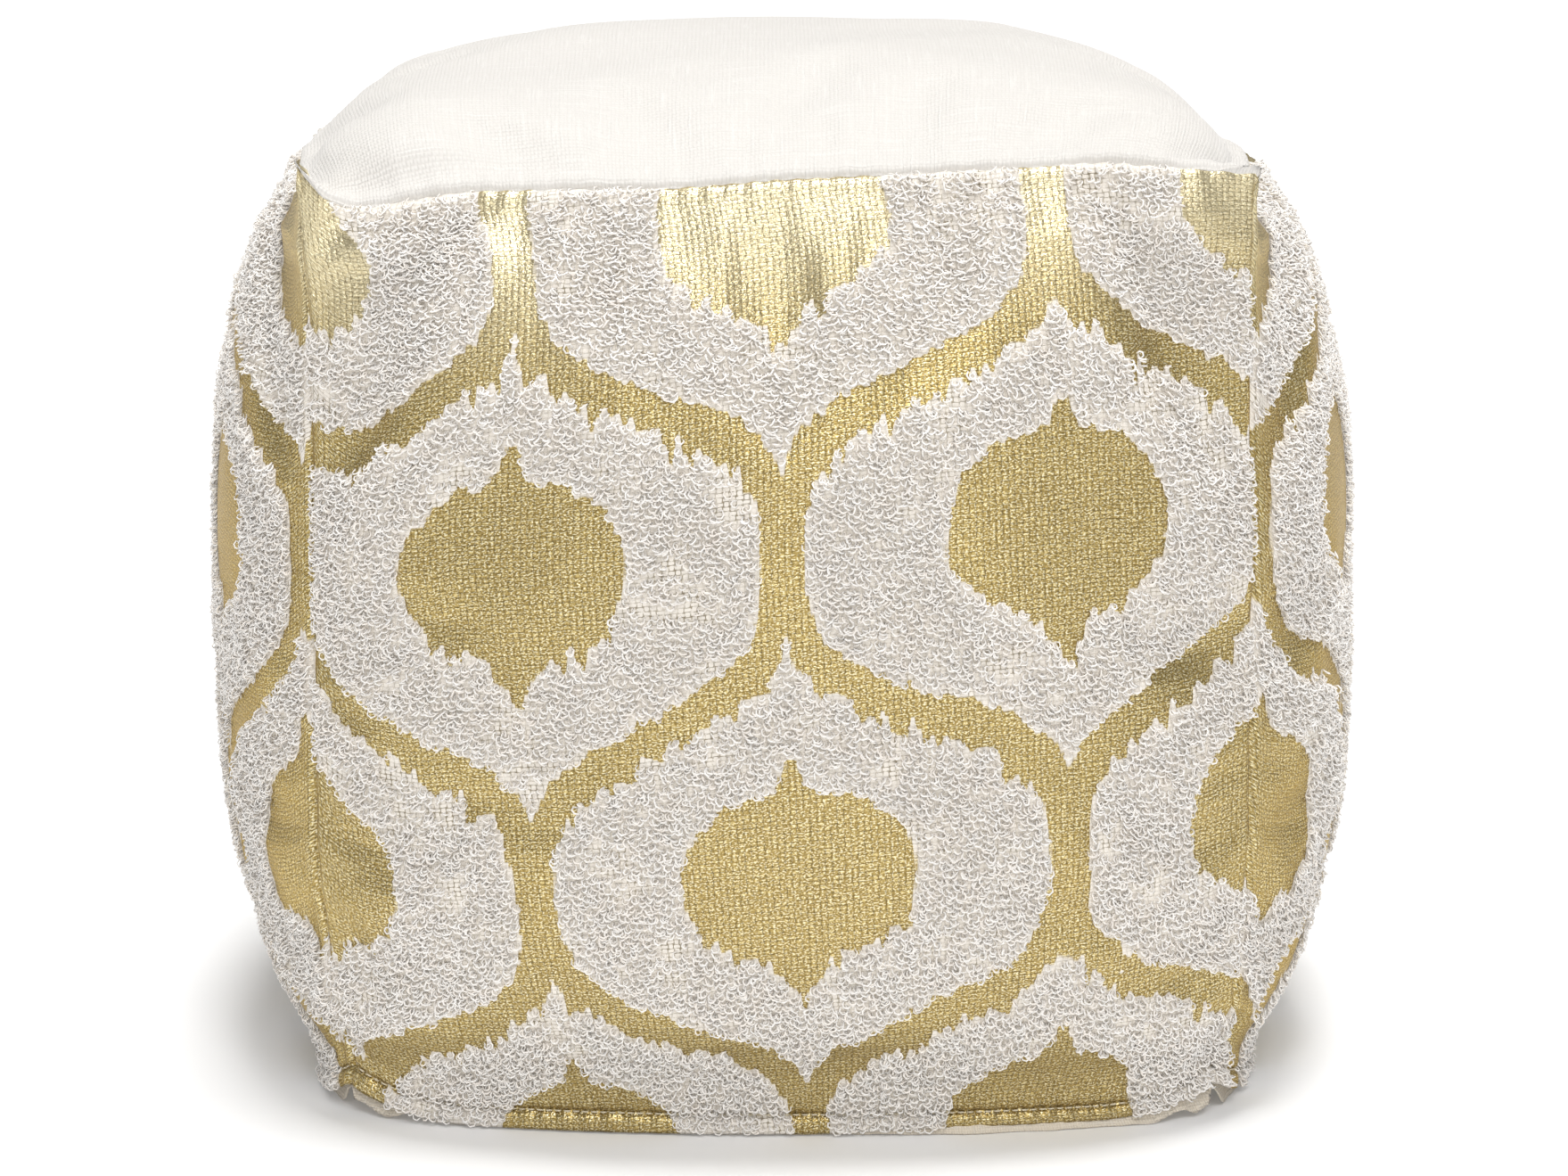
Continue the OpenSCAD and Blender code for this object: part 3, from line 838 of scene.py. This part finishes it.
def shape_side_edges(p, n, x, y, v):
    """Rounds a panel down into its seams, puckers it and rolls its hem."""
    to_side = np.minimum(x + PANEL_HALF, PANEL_HALF - x)
    to_top = PANEL_RISE - y
    fall = SEAM_FALL * np.maximum(hump(to_side, SEAM_WIDTH), 1.2 * hump(to_top, SEAM_WIDTH))
    fall = fall * (1 - 0.9 * hump(to_side + to_top, CORNER_TUCK))
    crease = CREASE_FALL * hump(y, 1.5)
    pucker = puckers(x, np.minimum(to_top, np.abs(y)), 0.45, 11, 23, 9)
    roll = np.where(y < 0, HEM_ROLL * np.sin(np.clip(-v, 0, 1) * math.pi * 0.8), 0)
    shaped = p + n * (roll + pucker - fall - crease)[..., None]
    shaped[..., 2] -= 2.6 * hump(to_side + 1.5 * to_top, CORNER_LOWERED)
    return shaped


def turned_in(line, across, down):
    """A line of points moved inwards and down."""
    flat = np.maximum(1, np.hypot(line[..., 0], line[..., 1]))[..., None]
    return line - np.concatenate([line[..., :2] / flat * across, np.full_like(flat, down)], -1)


def cover_piece(name, p, top, bottom, sides, material, stored, slot, node):
    """A panel with its edges turned in and its stored values."""
    full = np.concatenate([turned_in(p[:1], *bottom), p, turned_in(p[-1:], *top)], 0)
    full = np.concatenate([turned_in(full[:, :1], *sides), full, turned_in(full[:, -1:], *sides)], 1)
    piece = new_mesh(name, full, quads(point_numbers(*full.shape[:2])), [material])
    for key, values in stored.items():
        margin = ((1, 1), (1, 1)) + ((0, 0),) * (values.ndim - 2)
        add_attribute(piece, key, np.pad(values, margin, mode="edge"))
    finish_piece(piece, slot, node)


def make_side(k, cloth, yarns):
    side = SIDES[k]
    p, u, v, x, y = side_grid(k)
    p[..., 2] += HEM_LIFT[k] * right_half(u) * np.clip(-v, 0, 1)
    g, h, column = cloth_coordinates(side, x, y)
    field = pile_field(side, g, h, column)
    n = grid_normals(p)
    p = shape_side_edges(p, n, x, y, v)
    stored = {"pile": field, "bare": bare_patches(x, y), "cloth": cloth_vector(g, h)}
    turns = (TOP_TURN, HEM_TURN, SIDE_TURN)
    cover_piece(f"cover_{side}", p, *turns, cloth, stored, "side_fabric", f"{side}_panel")
    make_loops(side, p, n, x, y, field, yarns)


# ---- Pile loops ----

LOOP_PARTS = 5
LOOP_SIDES = 3
LOOP_ARC = math.radians(290)
YARN_R = 0.44
LOOP_R = (1.25, 2.1)
LOOP_TILT = (5, 72)
LOOP_SPACING = 2.3
LOOP_JITTER = 1.5
LOOP_SPREAD = 0.65
LOOP_LOW = 2.6
LOOP_MARGIN = 0.6


def bare_patches(x, y):
    """1 where the pile is thin and 0 where it is full."""
    patch = value_noise(x / 8, y / 3.6, 31) + 0.7 * value_noise(x / 25, y / 14, 32)
    return np.clip(-1.3 * (patch + 0.28), 0, 1)


def loop_tubes(centre, first, second, axis, radius, rng):
    """Points of tubes bent round part of a ring, one per centre."""
    count = len(centre)
    start = rng.uniform(-0.5, 0.5, count) - LOOP_ARC / 2 + math.pi / 2
    angles = (start[:, None] + np.linspace(0, LOOP_ARC, LOOP_PARTS + 1))[..., None]
    radial = np.cos(angles) * first[:, None] + np.sin(angles) * second[:, None]
    drift = np.linspace(-0.5, 0.5, LOOP_PARTS + 1) * rng.uniform(0.2, 1.1, count)[:, None]
    line = centre[:, None] + radial * radius[:, None, None] + axis[:, None] * drift[..., None]
    yarn = YARN_R * rng.uniform(0.85, 1.15, count)[:, None, None, None]
    return line[:, :, None] + yarn * ring_of(radial, axis[:, None], LOOP_SIDES)


def scatter_loops(p, n, x, y, field, rng):
    """Places and outward directions of the loops of one side."""
    rows = np.arange(y[:, 0].min() + LOOP_JITTER, PANEL_RISE - LOOP_JITTER, LOOP_SPACING)
    cols = np.arange(-PANEL_HALF + LOOP_JITTER, PANEL_HALF - LOOP_JITTER, LOOP_SPACING)
    cc, rr = np.meshgrid(cols, rows)
    cc = (cc + rng.uniform(-LOOP_JITTER, LOOP_JITTER, cc.shape)).ravel()
    rr = (rr + rng.uniform(-LOOP_JITTER, LOOP_JITTER, rr.shape)).ravel()
    row = np.interp(rr, y[:, p.shape[1] // 2], np.arange(p.shape[0]))
    col = np.interp(cc, x[p.shape[0] // 2], np.arange(p.shape[1]))
    share = 1 - 0.85 * bare_patches(cc, rr)
    keep = (read_at(field, row, col) > LOOP_MARGIN) & (rng.uniform(0, 1, len(cc)) < share)
    point = read_at(p, row, col)
    keep = keep & (point[:, 2] > LOOP_LOW)
    return point[keep], unit(read_at(n, row[keep], col[keep]))


def make_loops(side, p, n, x, y, field, yarns):
    """The pile of one side, one piece per yarn tone."""
    rng = np.random.default_rng(700 + SIDES.index(side))
    point, normal = scatter_loops(p, n, x, y, field, rng)
    count = len(point)
    weft = unit(np.cross([0, 0, 1.0], normal))
    warp = np.cross(normal, weft)
    turn = rng.normal(0, LOOP_SPREAD, count)[:, None]
    tangent = np.cos(turn) * warp + np.sin(turn) * weft
    tilt = np.radians(rng.uniform(*LOOP_TILT, count))[:, None]
    axis = np.cos(tilt) * tangent + np.sin(tilt) * normal
    first = unit(np.cross(axis, normal))
    second = np.cross(first, axis)
    second *= np.sign(np.sum(second * normal, 1))[:, None]
    radius = rng.uniform(*LOOP_R, count)
    lift = radius * rng.uniform(0.35, 0.95, count) * np.cos(tilt[:, 0]) + 0.5
    centre = point + normal * lift[:, None]
    share = rng.integers(0, len(yarns), count)
    for tone, yarn in enumerate(yarns):
        some = share == tone
        points = loop_tubes(centre[some], first[some], second[some], axis[some], radius[some], rng)
        faces = tube_faces(LOOP_PARTS + 1, LOOP_SIDES, len(points))
        finish_piece(new_mesh(f"{side}_pile_{tone + 1}", points, faces, [yarn]), "side_fabric")


# ---- Cover: the top ----

TOP_STEP = 2.1
TOP_HALF = 217.0
TOP_OVER = 1.2


def make_top(cloth):
    """The domed top, whose edge laps a little over the sides."""
    s = spread(2 * TOP_HALF, TOP_STEP) - TOP_HALF
    t = even_places(s, TOP_HALF, lambda q: top_rest(q, 0.0, FACE_DEPTH))
    p = top_surface(*np.meshgrid(t, t), FACE_DEPTH)
    xs, ys = np.meshgrid(s, s)
    gap = TOP_HALF - np.maximum(np.abs(xs), np.abs(ys))
    over = hump(2 * TOP_HALF - np.abs(xs) - np.abs(ys), CORNER_TUCK)
    along = np.where(np.abs(xs) > np.abs(ys), ys, xs)
    out = 0.5 * hump(gap - 4, 3) + puckers(along, gap, 0.4, 13, 19, 10)
    out = out - SEAM_FALL * hump(gap, 1.7) * (1 - over)
    p = p + grid_normals(p) * out[..., None]
    p[..., 0] += np.sign(xs) * TOP_OVER * over
    p[..., 1] += np.sign(ys) * TOP_OVER * over
    stored = {"cloth": cloth_vector(xs, ys)}
    cover_piece("cover_top", p, *[TOP_TURN] * 3, cloth, stored, "top_cotton", "top_panel")


# ---- Base, hem and threads ----

BASE_T = 1.2
BASE_DEPTH = COVER_T + 0.4 + BASE_T
BASE_ARCH = 5.45
ZIP_EDGE = 11.0
ZIP_SEAM = ZIP_EDGE + 1.5
ZIP_STITCH_Z = 5.5
TAPE_END = 196.0
VALLEY_IN = 14.0
VALLEY_OUT = 28.0


def base_surface(u, w, low, turn):
    """The base cloth of one half, with soft ripples."""
    p = base_rest(u, w, BASE_DEPTH, low, BASE_ARCH + low, VALLEY_OUT, VALLEY_IN)
    shut = ramp(np.abs(p[..., 0]), TAPE_END, 3) * np.maximum(0, VALLEY_OUT + p[..., 1])
    p[..., 1] += shut * (ZIP_EDGE - 0.2) / (VALLEY_OUT - ZIP_EDGE)
    across = np.abs(p[..., 1])
    ripple = np.clip(0.45 + 0.7 * soft_wave(p, 21, 60), 0, 0.85) * (1 - np.abs(u) ** 6)
    ripple = ripple * ramp(across, VALLEY_OUT, 25) * np.clip((1 - np.abs(w)) * 6, 0, 1)
    p[..., 2] += ripple + 0.3 * hump(across - ZIP_SEAM, 0.9)
    return sunk(quarter(p, turn))


def make_base(cloth):
    half = corner_half(0.0, BASE_DEPTH)
    outer_rows = np.linspace(-1, -VALLEY_OUT / half, 62)
    inner_rows = np.linspace(-VALLEY_OUT / half, -ZIP_EDGE / half, 22)[1:]
    uu, ww = np.meshgrid(np.linspace(-1, 1, 161), np.concatenate([outer_rows, inner_rows]))
    for name, turn in (("front", 0), ("rear", 2)):
        above = base_surface(uu, ww, BASE_T, turn)
        below = base_surface(uu, ww, 0.0, turn)
        below[..., 2] = np.maximum(below[..., 2], 0.02)
        above[..., 2] = np.maximum(above[..., 2], below[..., 2] + 0.8)
        piece = shell(f"base_cloth_{name}", above, below, cloth)
        spot = np.concatenate([above, below])
        add_attribute(piece, "cloth", cloth_vector(spot[..., 0], spot[..., 1]))
        finish_piece(piece, "base_cotton", f"base_panel_{name}")


def around(function, count):
    """Points of function(k, u) round all four sides."""
    u = np.linspace(-1, 1, count + 1)[:-1]
    return np.concatenate([function(k, u) for k in range(4)])


def hem_tape_line(k, u, depth, up, lowest):
    """One line along the hem tape; up is 0 at its foot and 1 at its head."""
    foot = side_surface(k, u, np.full_like(u, -1.0), depth)
    head = side_surface(k, u, np.zeros_like(u), depth)
    wave = 1.1 + 0.9 * np.sin(u * 21 + k) * np.sin(u * 8.3 + 2 * k) + 0.5 * np.sin(u * 47 + k)
    hang = (0.4 + 3.2 * curl(u) ** 0.5 + 1.3 * np.abs(u)) * np.clip(wave, 0.3, 2)
    foot[:, 2] = np.maximum(foot[:, 2] - hang, lowest)
    flat = np.hypot(foot[:, 0], foot[:, 1])
    flare = 0.9 + 0.7 * np.sin(u * 33 + 2 * k) * np.clip(wave, 0, 1) + LOOSE_TAPE[k] * right_half(u)
    foot[:, :2] *= (1 + flare / flat)[:, None]
    line = foot * (1 - up) + head * up
    tuck = 3.0 * np.sin(math.pi * up) * curl(u) ** 0.5
    line[:, :2] *= (1 - tuck / flat)[:, None]
    return line


def make_hem_tape(cloth):
    """The cream edging inside the hem."""
    layers = []
    for depth, lowest in ((COVER_T + 0.2, 0.3), (COVER_T + 1.2, 0.35)):
        rows = [around(lambda k, u: hem_tape_line(k, u, depth, up, lowest), 260)
                for up in (0.0, 0.12, 0.3, 0.6, 1.0)]
        layers.append(np.stack(rows))
    piece = shell("hem_tape", *layers, cloth, wrap=True)
    spot = np.concatenate(layers)
    run = np.degrees(np.arctan2(spot[..., 1], spot[..., 0])) * 4.1
    add_attribute(piece, "cloth", cloth_vector(run, spot[..., 2]))
    finish_piece(piece, "base_cotton", "base_hem_tape")


STITCH_PITCH = 4.2
STITCH_LEN = 3.1
STITCH_R = 0.42
STITCH_SIDES = 6
STITCH_RINGS = np.array([0.0, 0.12, 0.35, 0.65, 0.88, 1.0])
STITCH_GIRTH = np.array([0.35, 0.8, 1.0, 1.0, 0.8, 0.35])
THREAD_DEPTH = 4.0
THREAD_R = 0.45
BAG_THREAD_R = 0.3


def stitch_points(line, out):
    """Short plump stitches along a line; out points away from the cloth."""
    run = run_lengths(line)
    starts = np.arange(1.0, run[-1] - STITCH_LEN, STITCH_PITCH)
    where = starts[:, None] + STITCH_RINGS * STITCH_LEN
    place, away = (np.stack([np.interp(where, run, axis) for axis in path.T], -1) for path in (line, out))
    side = np.cross(unit(np.gradient(place, axis=1)), away)
    middle = place + away * (np.sin(STITCH_RINGS * math.pi)[:, None] * 0.5 - 0.25)
    girth = STITCH_GIRTH[:, None, None] * STITCH_R
    return middle[:, :, None] + ring_of(side, away, STITCH_SIDES) * girth


def stitch_piece(name, runs, material, node):
    """One piece of stitches from (line, outward directions) runs."""
    points = np.concatenate([stitch_points(line, out) for line, out in runs])
    faces = tube_faces(len(STITCH_RINGS), STITCH_SIDES, len(points))
    finish_piece(new_mesh(name, points, faces, [material]), "thread", node)


def topstitch_run(k):
    """A side's stitched crease, and the direction out of it."""
    u = np.linspace(-0.985, 0.985, 400)
    line = side_surface(k, u, np.zeros_like(u), FACE_DEPTH + 0.8)
    return line, unit(np.cross(np.gradient(line, axis=0), [0, 0, 1.0]))


def zip_stitch_run(y):
    x = np.linspace(-194, 194, 300)
    line = np.stack([x, np.full_like(x, y), np.full_like(x, ZIP_STITCH_Z)], -1)
    return line, np.tile([0, 0, -1.0], (len(x), 1))


def make_threads(material):
    """All the sewing threads."""

    def thread(name, line, radius, *nodes, closed=False):
        finish_piece(tube(name, line, radius, material, closed), "thread", *nodes)

    creases = [topstitch_run(k) for k in range(4)]
    stitch_piece("crease_topstitch", creases, material, "base_topstitch_thread")
    zip_runs = [zip_stitch_run(y) for y in (-ZIP_SEAM, ZIP_SEAM)]
    stitch_piece("zip_stitches", zip_runs, material, "zip_stitching")
    ring = around(lambda k, u: side_surface(k, u, np.ones_like(u), THREAD_DEPTH), 90)
    thread("top_seam_stitching", ring, THREAD_R, "top_seam_thread", closed=True)
    v = np.linspace(0.04, 0.96, 90)
    edge = np.ones_like(v)
    for k in range(4):
        cover, bag = (["corner_seam_threads"], ["liner_seam_threads"]) if k == 0 else ([], [])
        line = side_surface(k, edge, v, THREAD_DEPTH)
        thread(f"corner_seam_stitching_{k + 1}", line, THREAD_R, *cover)
        line = side_surface(k, edge, v, BAG_THREAD_DEPTH, BAG_LOW + BAG_T)
        thread(f"bag_seam_stitching_{k + 1}", line, BAG_THREAD_R, *bag)
    line = side_surface(2, np.linspace(-0.7, 0.7, 90), edge, BAG_THREAD_DEPTH)
    thread("bag_closing_stitching", line, BAG_THREAD_R, "liner_closing_thread")


# ---- Inner bag and filling ----

BAG_DEPTH = 5.0
BAG_T = 1.0
BAG_THREAD_DEPTH = BAG_DEPTH + BAG_T + 0.5
BAG_LOW = 2.2
BAG_ARCH = 12.0
BAG_STEPS = 48
FILL_DEPTH = 7.0
FILL_LOW = 4.0
FILL_ARCH = 14.0
FILL_STEPS = 60
FILL_ROWS = 52
FOLD_SHARE = 0.22


def folded_base(u, w, depth, low, arch):
    """A base that arches over the zip in one fold."""
    return base_rest(u, w, depth, low, arch, FOLD_SHARE * corner_half(0.0, depth), 0.0)


def make_bag(material):
    """The six panels of the inner bag."""
    t = np.linspace(-1, 1, BAG_STEPS + 1)
    uu, ww = np.meshgrid(t, t)

    def panel(part, layer, extras=(0, BAG_T)):
        outer, inner = (layer(extra) for extra in extras)
        finish_piece(shell(f"inner_bag_{part}", outer, inner, material), "liner_fabric", f"liner_{part}")

    def base(extra):
        return sunk(folded_base(uu, ww, BAG_DEPTH + extra, BAG_LOW + extra, BAG_ARCH + extra))

    for k, side in enumerate(SIDES):
        panel(side, lambda extra: side_surface(k, uu, (ww + 1) / 2, BAG_DEPTH + extra, BAG_LOW + extra))
    panel("top", lambda extra: top_surface(uu, ww, BAG_DEPTH + extra))
    panel("base", base, extras=(BAG_T, 0))


def cube_numbers(steps, rows):
    """Point numbers of a closed cube's sides, top and base."""
    walls = point_numbers(rows + 1, 4 * steps, wrap=True)
    inner = np.arange((steps - 1) ** 2).reshape(steps - 1, -1) + (rows + 1) * 4 * steps
    caps = []
    for rim, inside in ((walls[-1], inner), (walls[0], inner + inner.size)):
        cap = np.pad(inside, 1)
        cap[0, :] = rim[: steps + 1]
        cap[:, -1] = rim[steps : 2 * steps + 1]
        cap[-1, ::-1] = rim[2 * steps : 3 * steps + 1]
        cap[::-1, 0] = rim[3 * steps :]
        caps.append(cap)
    return walls, *caps


def closed_body(name, steps, rows, side_at, top_at, base_at, materials):
    """A closed cube from its surface functions, and its points."""
    u = 2 * np.arange(steps) / steps - 1
    heights = np.linspace(0, 1, rows + 1)
    levels = [side_at(k, u, np.full(steps, v)) for v in heights for k in range(4)]
    inside = np.linspace(-1, 1, steps + 1)[1:-1]
    caps = [cap(*np.meshgrid(inside, inside)).reshape(-1, 3) for cap in (top_at, base_at)]
    walls, top, base = cube_numbers(steps, rows)
    faces = np.concatenate([quads(walls), quads(top), quads(base)[:, ::-1]])
    points = np.concatenate(levels + caps)
    return new_mesh(name, points, faces, materials), points


def make_fill(material):
    """The loose beads as one body."""
    piece, _ = closed_body(
        "bead_filling", FILL_STEPS, FILL_ROWS,
        lambda k, u, v: side_surface(k, u, v, FILL_DEPTH, FILL_LOW),
        lambda u, w: top_surface(u, w, FILL_DEPTH),
        lambda u, w: sunk(folded_base(u, w, FILL_DEPTH, FILL_LOW, FILL_ARCH)),
        [material],
    )
    finish_piece(piece, "bead_fill", "bead_fill")


# ---- Cloth simulation of the whole cover ----

SIM_STEPS = 48
SIM_ROWS = 42
SIM_ARCH = 6.0
SIM_CAP = 6.0
SIM_FRAMES = 18
SIM_SMOOTH = 60
# Blows the cover up a little while its seams draw in.
CLOTH = {
    "quality": 6, "mass": 0.4, "tension_stiffness": 25, "compression_stiffness": 25,
    "shear_stiffness": 8, "bending_stiffness": 1.5, "air_damping": 2.0,
    "use_pressure": True, "uniform_pressure_force": 4.0,
    "vertex_group_shrink": "seams", "shrink_min": 0.0, "shrink_max": 0.07,
    "vertex_group_mass": "pins",
}


def graph_smooth(values, edges, rounds):
    """Averages values over a mesh's edges."""
    ends = np.concatenate([edges, edges[:, ::-1]])
    degree = np.bincount(ends[:, 0])[:, None]
    for _ in range(rounds):
        total = np.zeros_like(values)
        np.add.at(total, ends[:, 0], values[ends[:, 1]])
        values = 0.5 * values + 0.5 * total / degree
    return values


def add_cloth(ob, seams, pins):
    """Cloth that shrinks at the seams and is held at the pins."""
    for name, numbers in (("seams", seams), ("pins", pins)):
        ob.vertex_groups.new(name=name).add(numbers.tolist(), 1.0, "REPLACE")
    cloth = ob.modifiers.new("cloth", "CLOTH")
    for name, value in CLOTH.items():
        setattr(cloth.settings, name, value)
    cloth.settings.effector_weights.gravity = 0.0
    cloth.collision_settings.use_collision = False


def simulate_cover():
    """Lets the cover pucker, and keeps how each point moved."""
    ob, points = closed_body(
        "cover_simulation", SIM_STEPS, SIM_ROWS,
        lambda k, u, v: quarter(side_rest(u, v, 0.0), k),
        lambda u, w: top_rest(u, w, 0.0),
        lambda u, w: folded_base(u, w, 0.0, 0.0, SIM_ARCH),
        [],
    )
    walls, top, base = cube_numbers(SIM_STEPS, SIM_ROWS)
    corners = walls[:, :-1:SIM_STEPS].ravel()
    add_cloth(ob, np.concatenate([walls[-1, :-1], walls[0, :-1], corners]), base[1:-1, 1:-1].ravel())
    for number in range(1, SIM_FRAMES + 1):
        bpy.context.scene.frame_set(number)
    blown = ob.evaluated_get(bpy.context.evaluated_depsgraph_get()).to_mesh()
    found = np.array([vertex.co for vertex in blown.vertices])
    edges = np.array([edge.vertices for edge in ob.data.edges])
    bpy.data.objects.remove(ob)
    bpy.context.scene.frame_set(1)
    move = found / MM - points
    move = graph_smooth(move - graph_smooth(move, edges, SIM_SMOOTH), edges, 1)
    size = np.maximum(1e-6, np.linalg.norm(move, axis=1))
    away = np.append(CORNER_TOP - np.abs(points[:, :2]), points[:, 2:] - SEAM_Z, 1)
    share = ramp(points[:, 2], 12, 40) * (1 - hump(np.linalg.norm(away, axis=1), 30))
    move *= (SIM_CAP * np.tanh(size / SIM_CAP) / size * share)[:, None]
    settled["top"] = move[top]
    for k in range(4):
        settled[k] = move[walls[:, k * SIM_STEPS : (k + 1) * SIM_STEPS + 1]]


# ---- The zip ----


def dress_zip():
    """Finishes for the zip's CAD parts, whose shapes stay."""
    looks = {
        tape_material: ("zip_tape_front", "zip_tape_rear"),
        teeth_material: ("zip_teeth_front", "zip_teeth_rear"),
        metal_material: ("zip_bottom_stop", "zip_top_stops", "zip_slider", "zip_pull"),
    }
    for make, nodes in looks.items():
        material = make()
        for node in nodes:
            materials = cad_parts[node].data.materials
            materials.clear()
            materials.append(material)


# ---- Studio ----

VIEW_DISTANCE = 2.2
VIEW_ELEVATION = math.radians(11)
VIEW_HEIGHT = 0.210
LENS = 101.2
FLOOR_HALF = 20000.0
FLOOR_GLOW = 0.10
FILL_COLOUR = (0.98, 0.985, 1.0)
FILL_STRENGTH = 0.30
# Name, strength, angular size in degrees and direction of each light.
SOFTBOXES = (
    ("softbox_over", 2.5, 20, (0.05, 0.05, 1.0)),
    ("softbox_high_front", 1.03, 26, (0.12, -1.0, 1.06)),
    ("softbox_low_front", 0.72, 60, (0.06, -1.0, 0.18)),
)


def make_camera():
    data = bpy.data.cameras.new("camera")
    data.sensor_width = 36.0
    data.lens = LENS
    data.clip_end = 100.0
    camera = placed("camera", data)
    back = Vector((0, -math.cos(VIEW_ELEVATION), math.sin(VIEW_ELEVATION)))
    camera.location = Vector((0, 0, VIEW_HEIGHT)) + VIEW_DISTANCE * back
    camera.rotation_euler = (-back).to_track_quat("-Z", "Y").to_euler()
    bpy.context.scene.camera = camera


def make_floor():
    corners = np.array([[-1, -1, 0], [1, -1, 0], [1, 1, 0], [-1, 1, 0]]) * FLOOR_HALF
    g = Graph("studio_floor", roughness=0.9)
    speck = g.noise(g.object_place(), 3.0)
    g.put({
        "Base Color": g.mix(speck, (0.86, 0.86, 0.86), (0.88, 0.88, 0.88)),
        "Emission Color": (1, 1, 1), "Emission Strength": FLOOR_GLOW,
    })
    new_mesh("studio_floor", corners, np.array([[0, 1, 2, 3]]), [g.material])


def make_light():
    """Broad lights, a soft surround and a white backdrop."""
    for name, strength, angle, direction in SOFTBOXES:
        data = bpy.data.lights.new(name, "SUN")
        data.energy = strength
        data.angle = math.radians(angle)
        placed(name, data).rotation_euler = Vector(direction).to_track_quat("Z", "Y").to_euler()
    world = bpy.data.worlds.new("studio")
    bpy.context.scene.world = world
    world.use_nodes = True
    tree = world.node_tree
    tree.nodes.clear()
    seen = add_node(tree, "Background", {"Color": (1, 1, 1)})[0]
    fill = add_node(tree, "Background", {"Color": FILL_COLOUR, "Strength": FILL_STRENGTH})[0]
    path = add_node(tree, "LightPath", {})["Is Camera Ray"]
    both = add_node(tree, "MixShader", {0: path, 1: fill, 2: seen})[0]
    add_node(tree, "OutputWorld", {0: both})
    bpy.context.scene.view_settings.view_transform = "Standard"


def build():
    make_camera()
    make_floor()
    make_light()
    simulate_cover()
    yarns = [yarn_material(f"pile_yarn_{name}", tone) for name, tone in YARN_TONES.items()]
    cloth = side_material()
    for k in range(4):
        make_side(k, cloth, yarns)
    make_top(cotton_material("ivory_slub_cotton", IVORY, IVORY_SHADE, 0.35, 2.1))
    cream = cotton_material("cream_cotton", CREAM, CREAM_SHADE, 0.3, 1.4)
    make_base(cream)
    make_hem_tape(cream)
    make_threads(thread_material())
    make_bag(bag_material())
    make_fill(bead_material())
    dress_zip()


build()
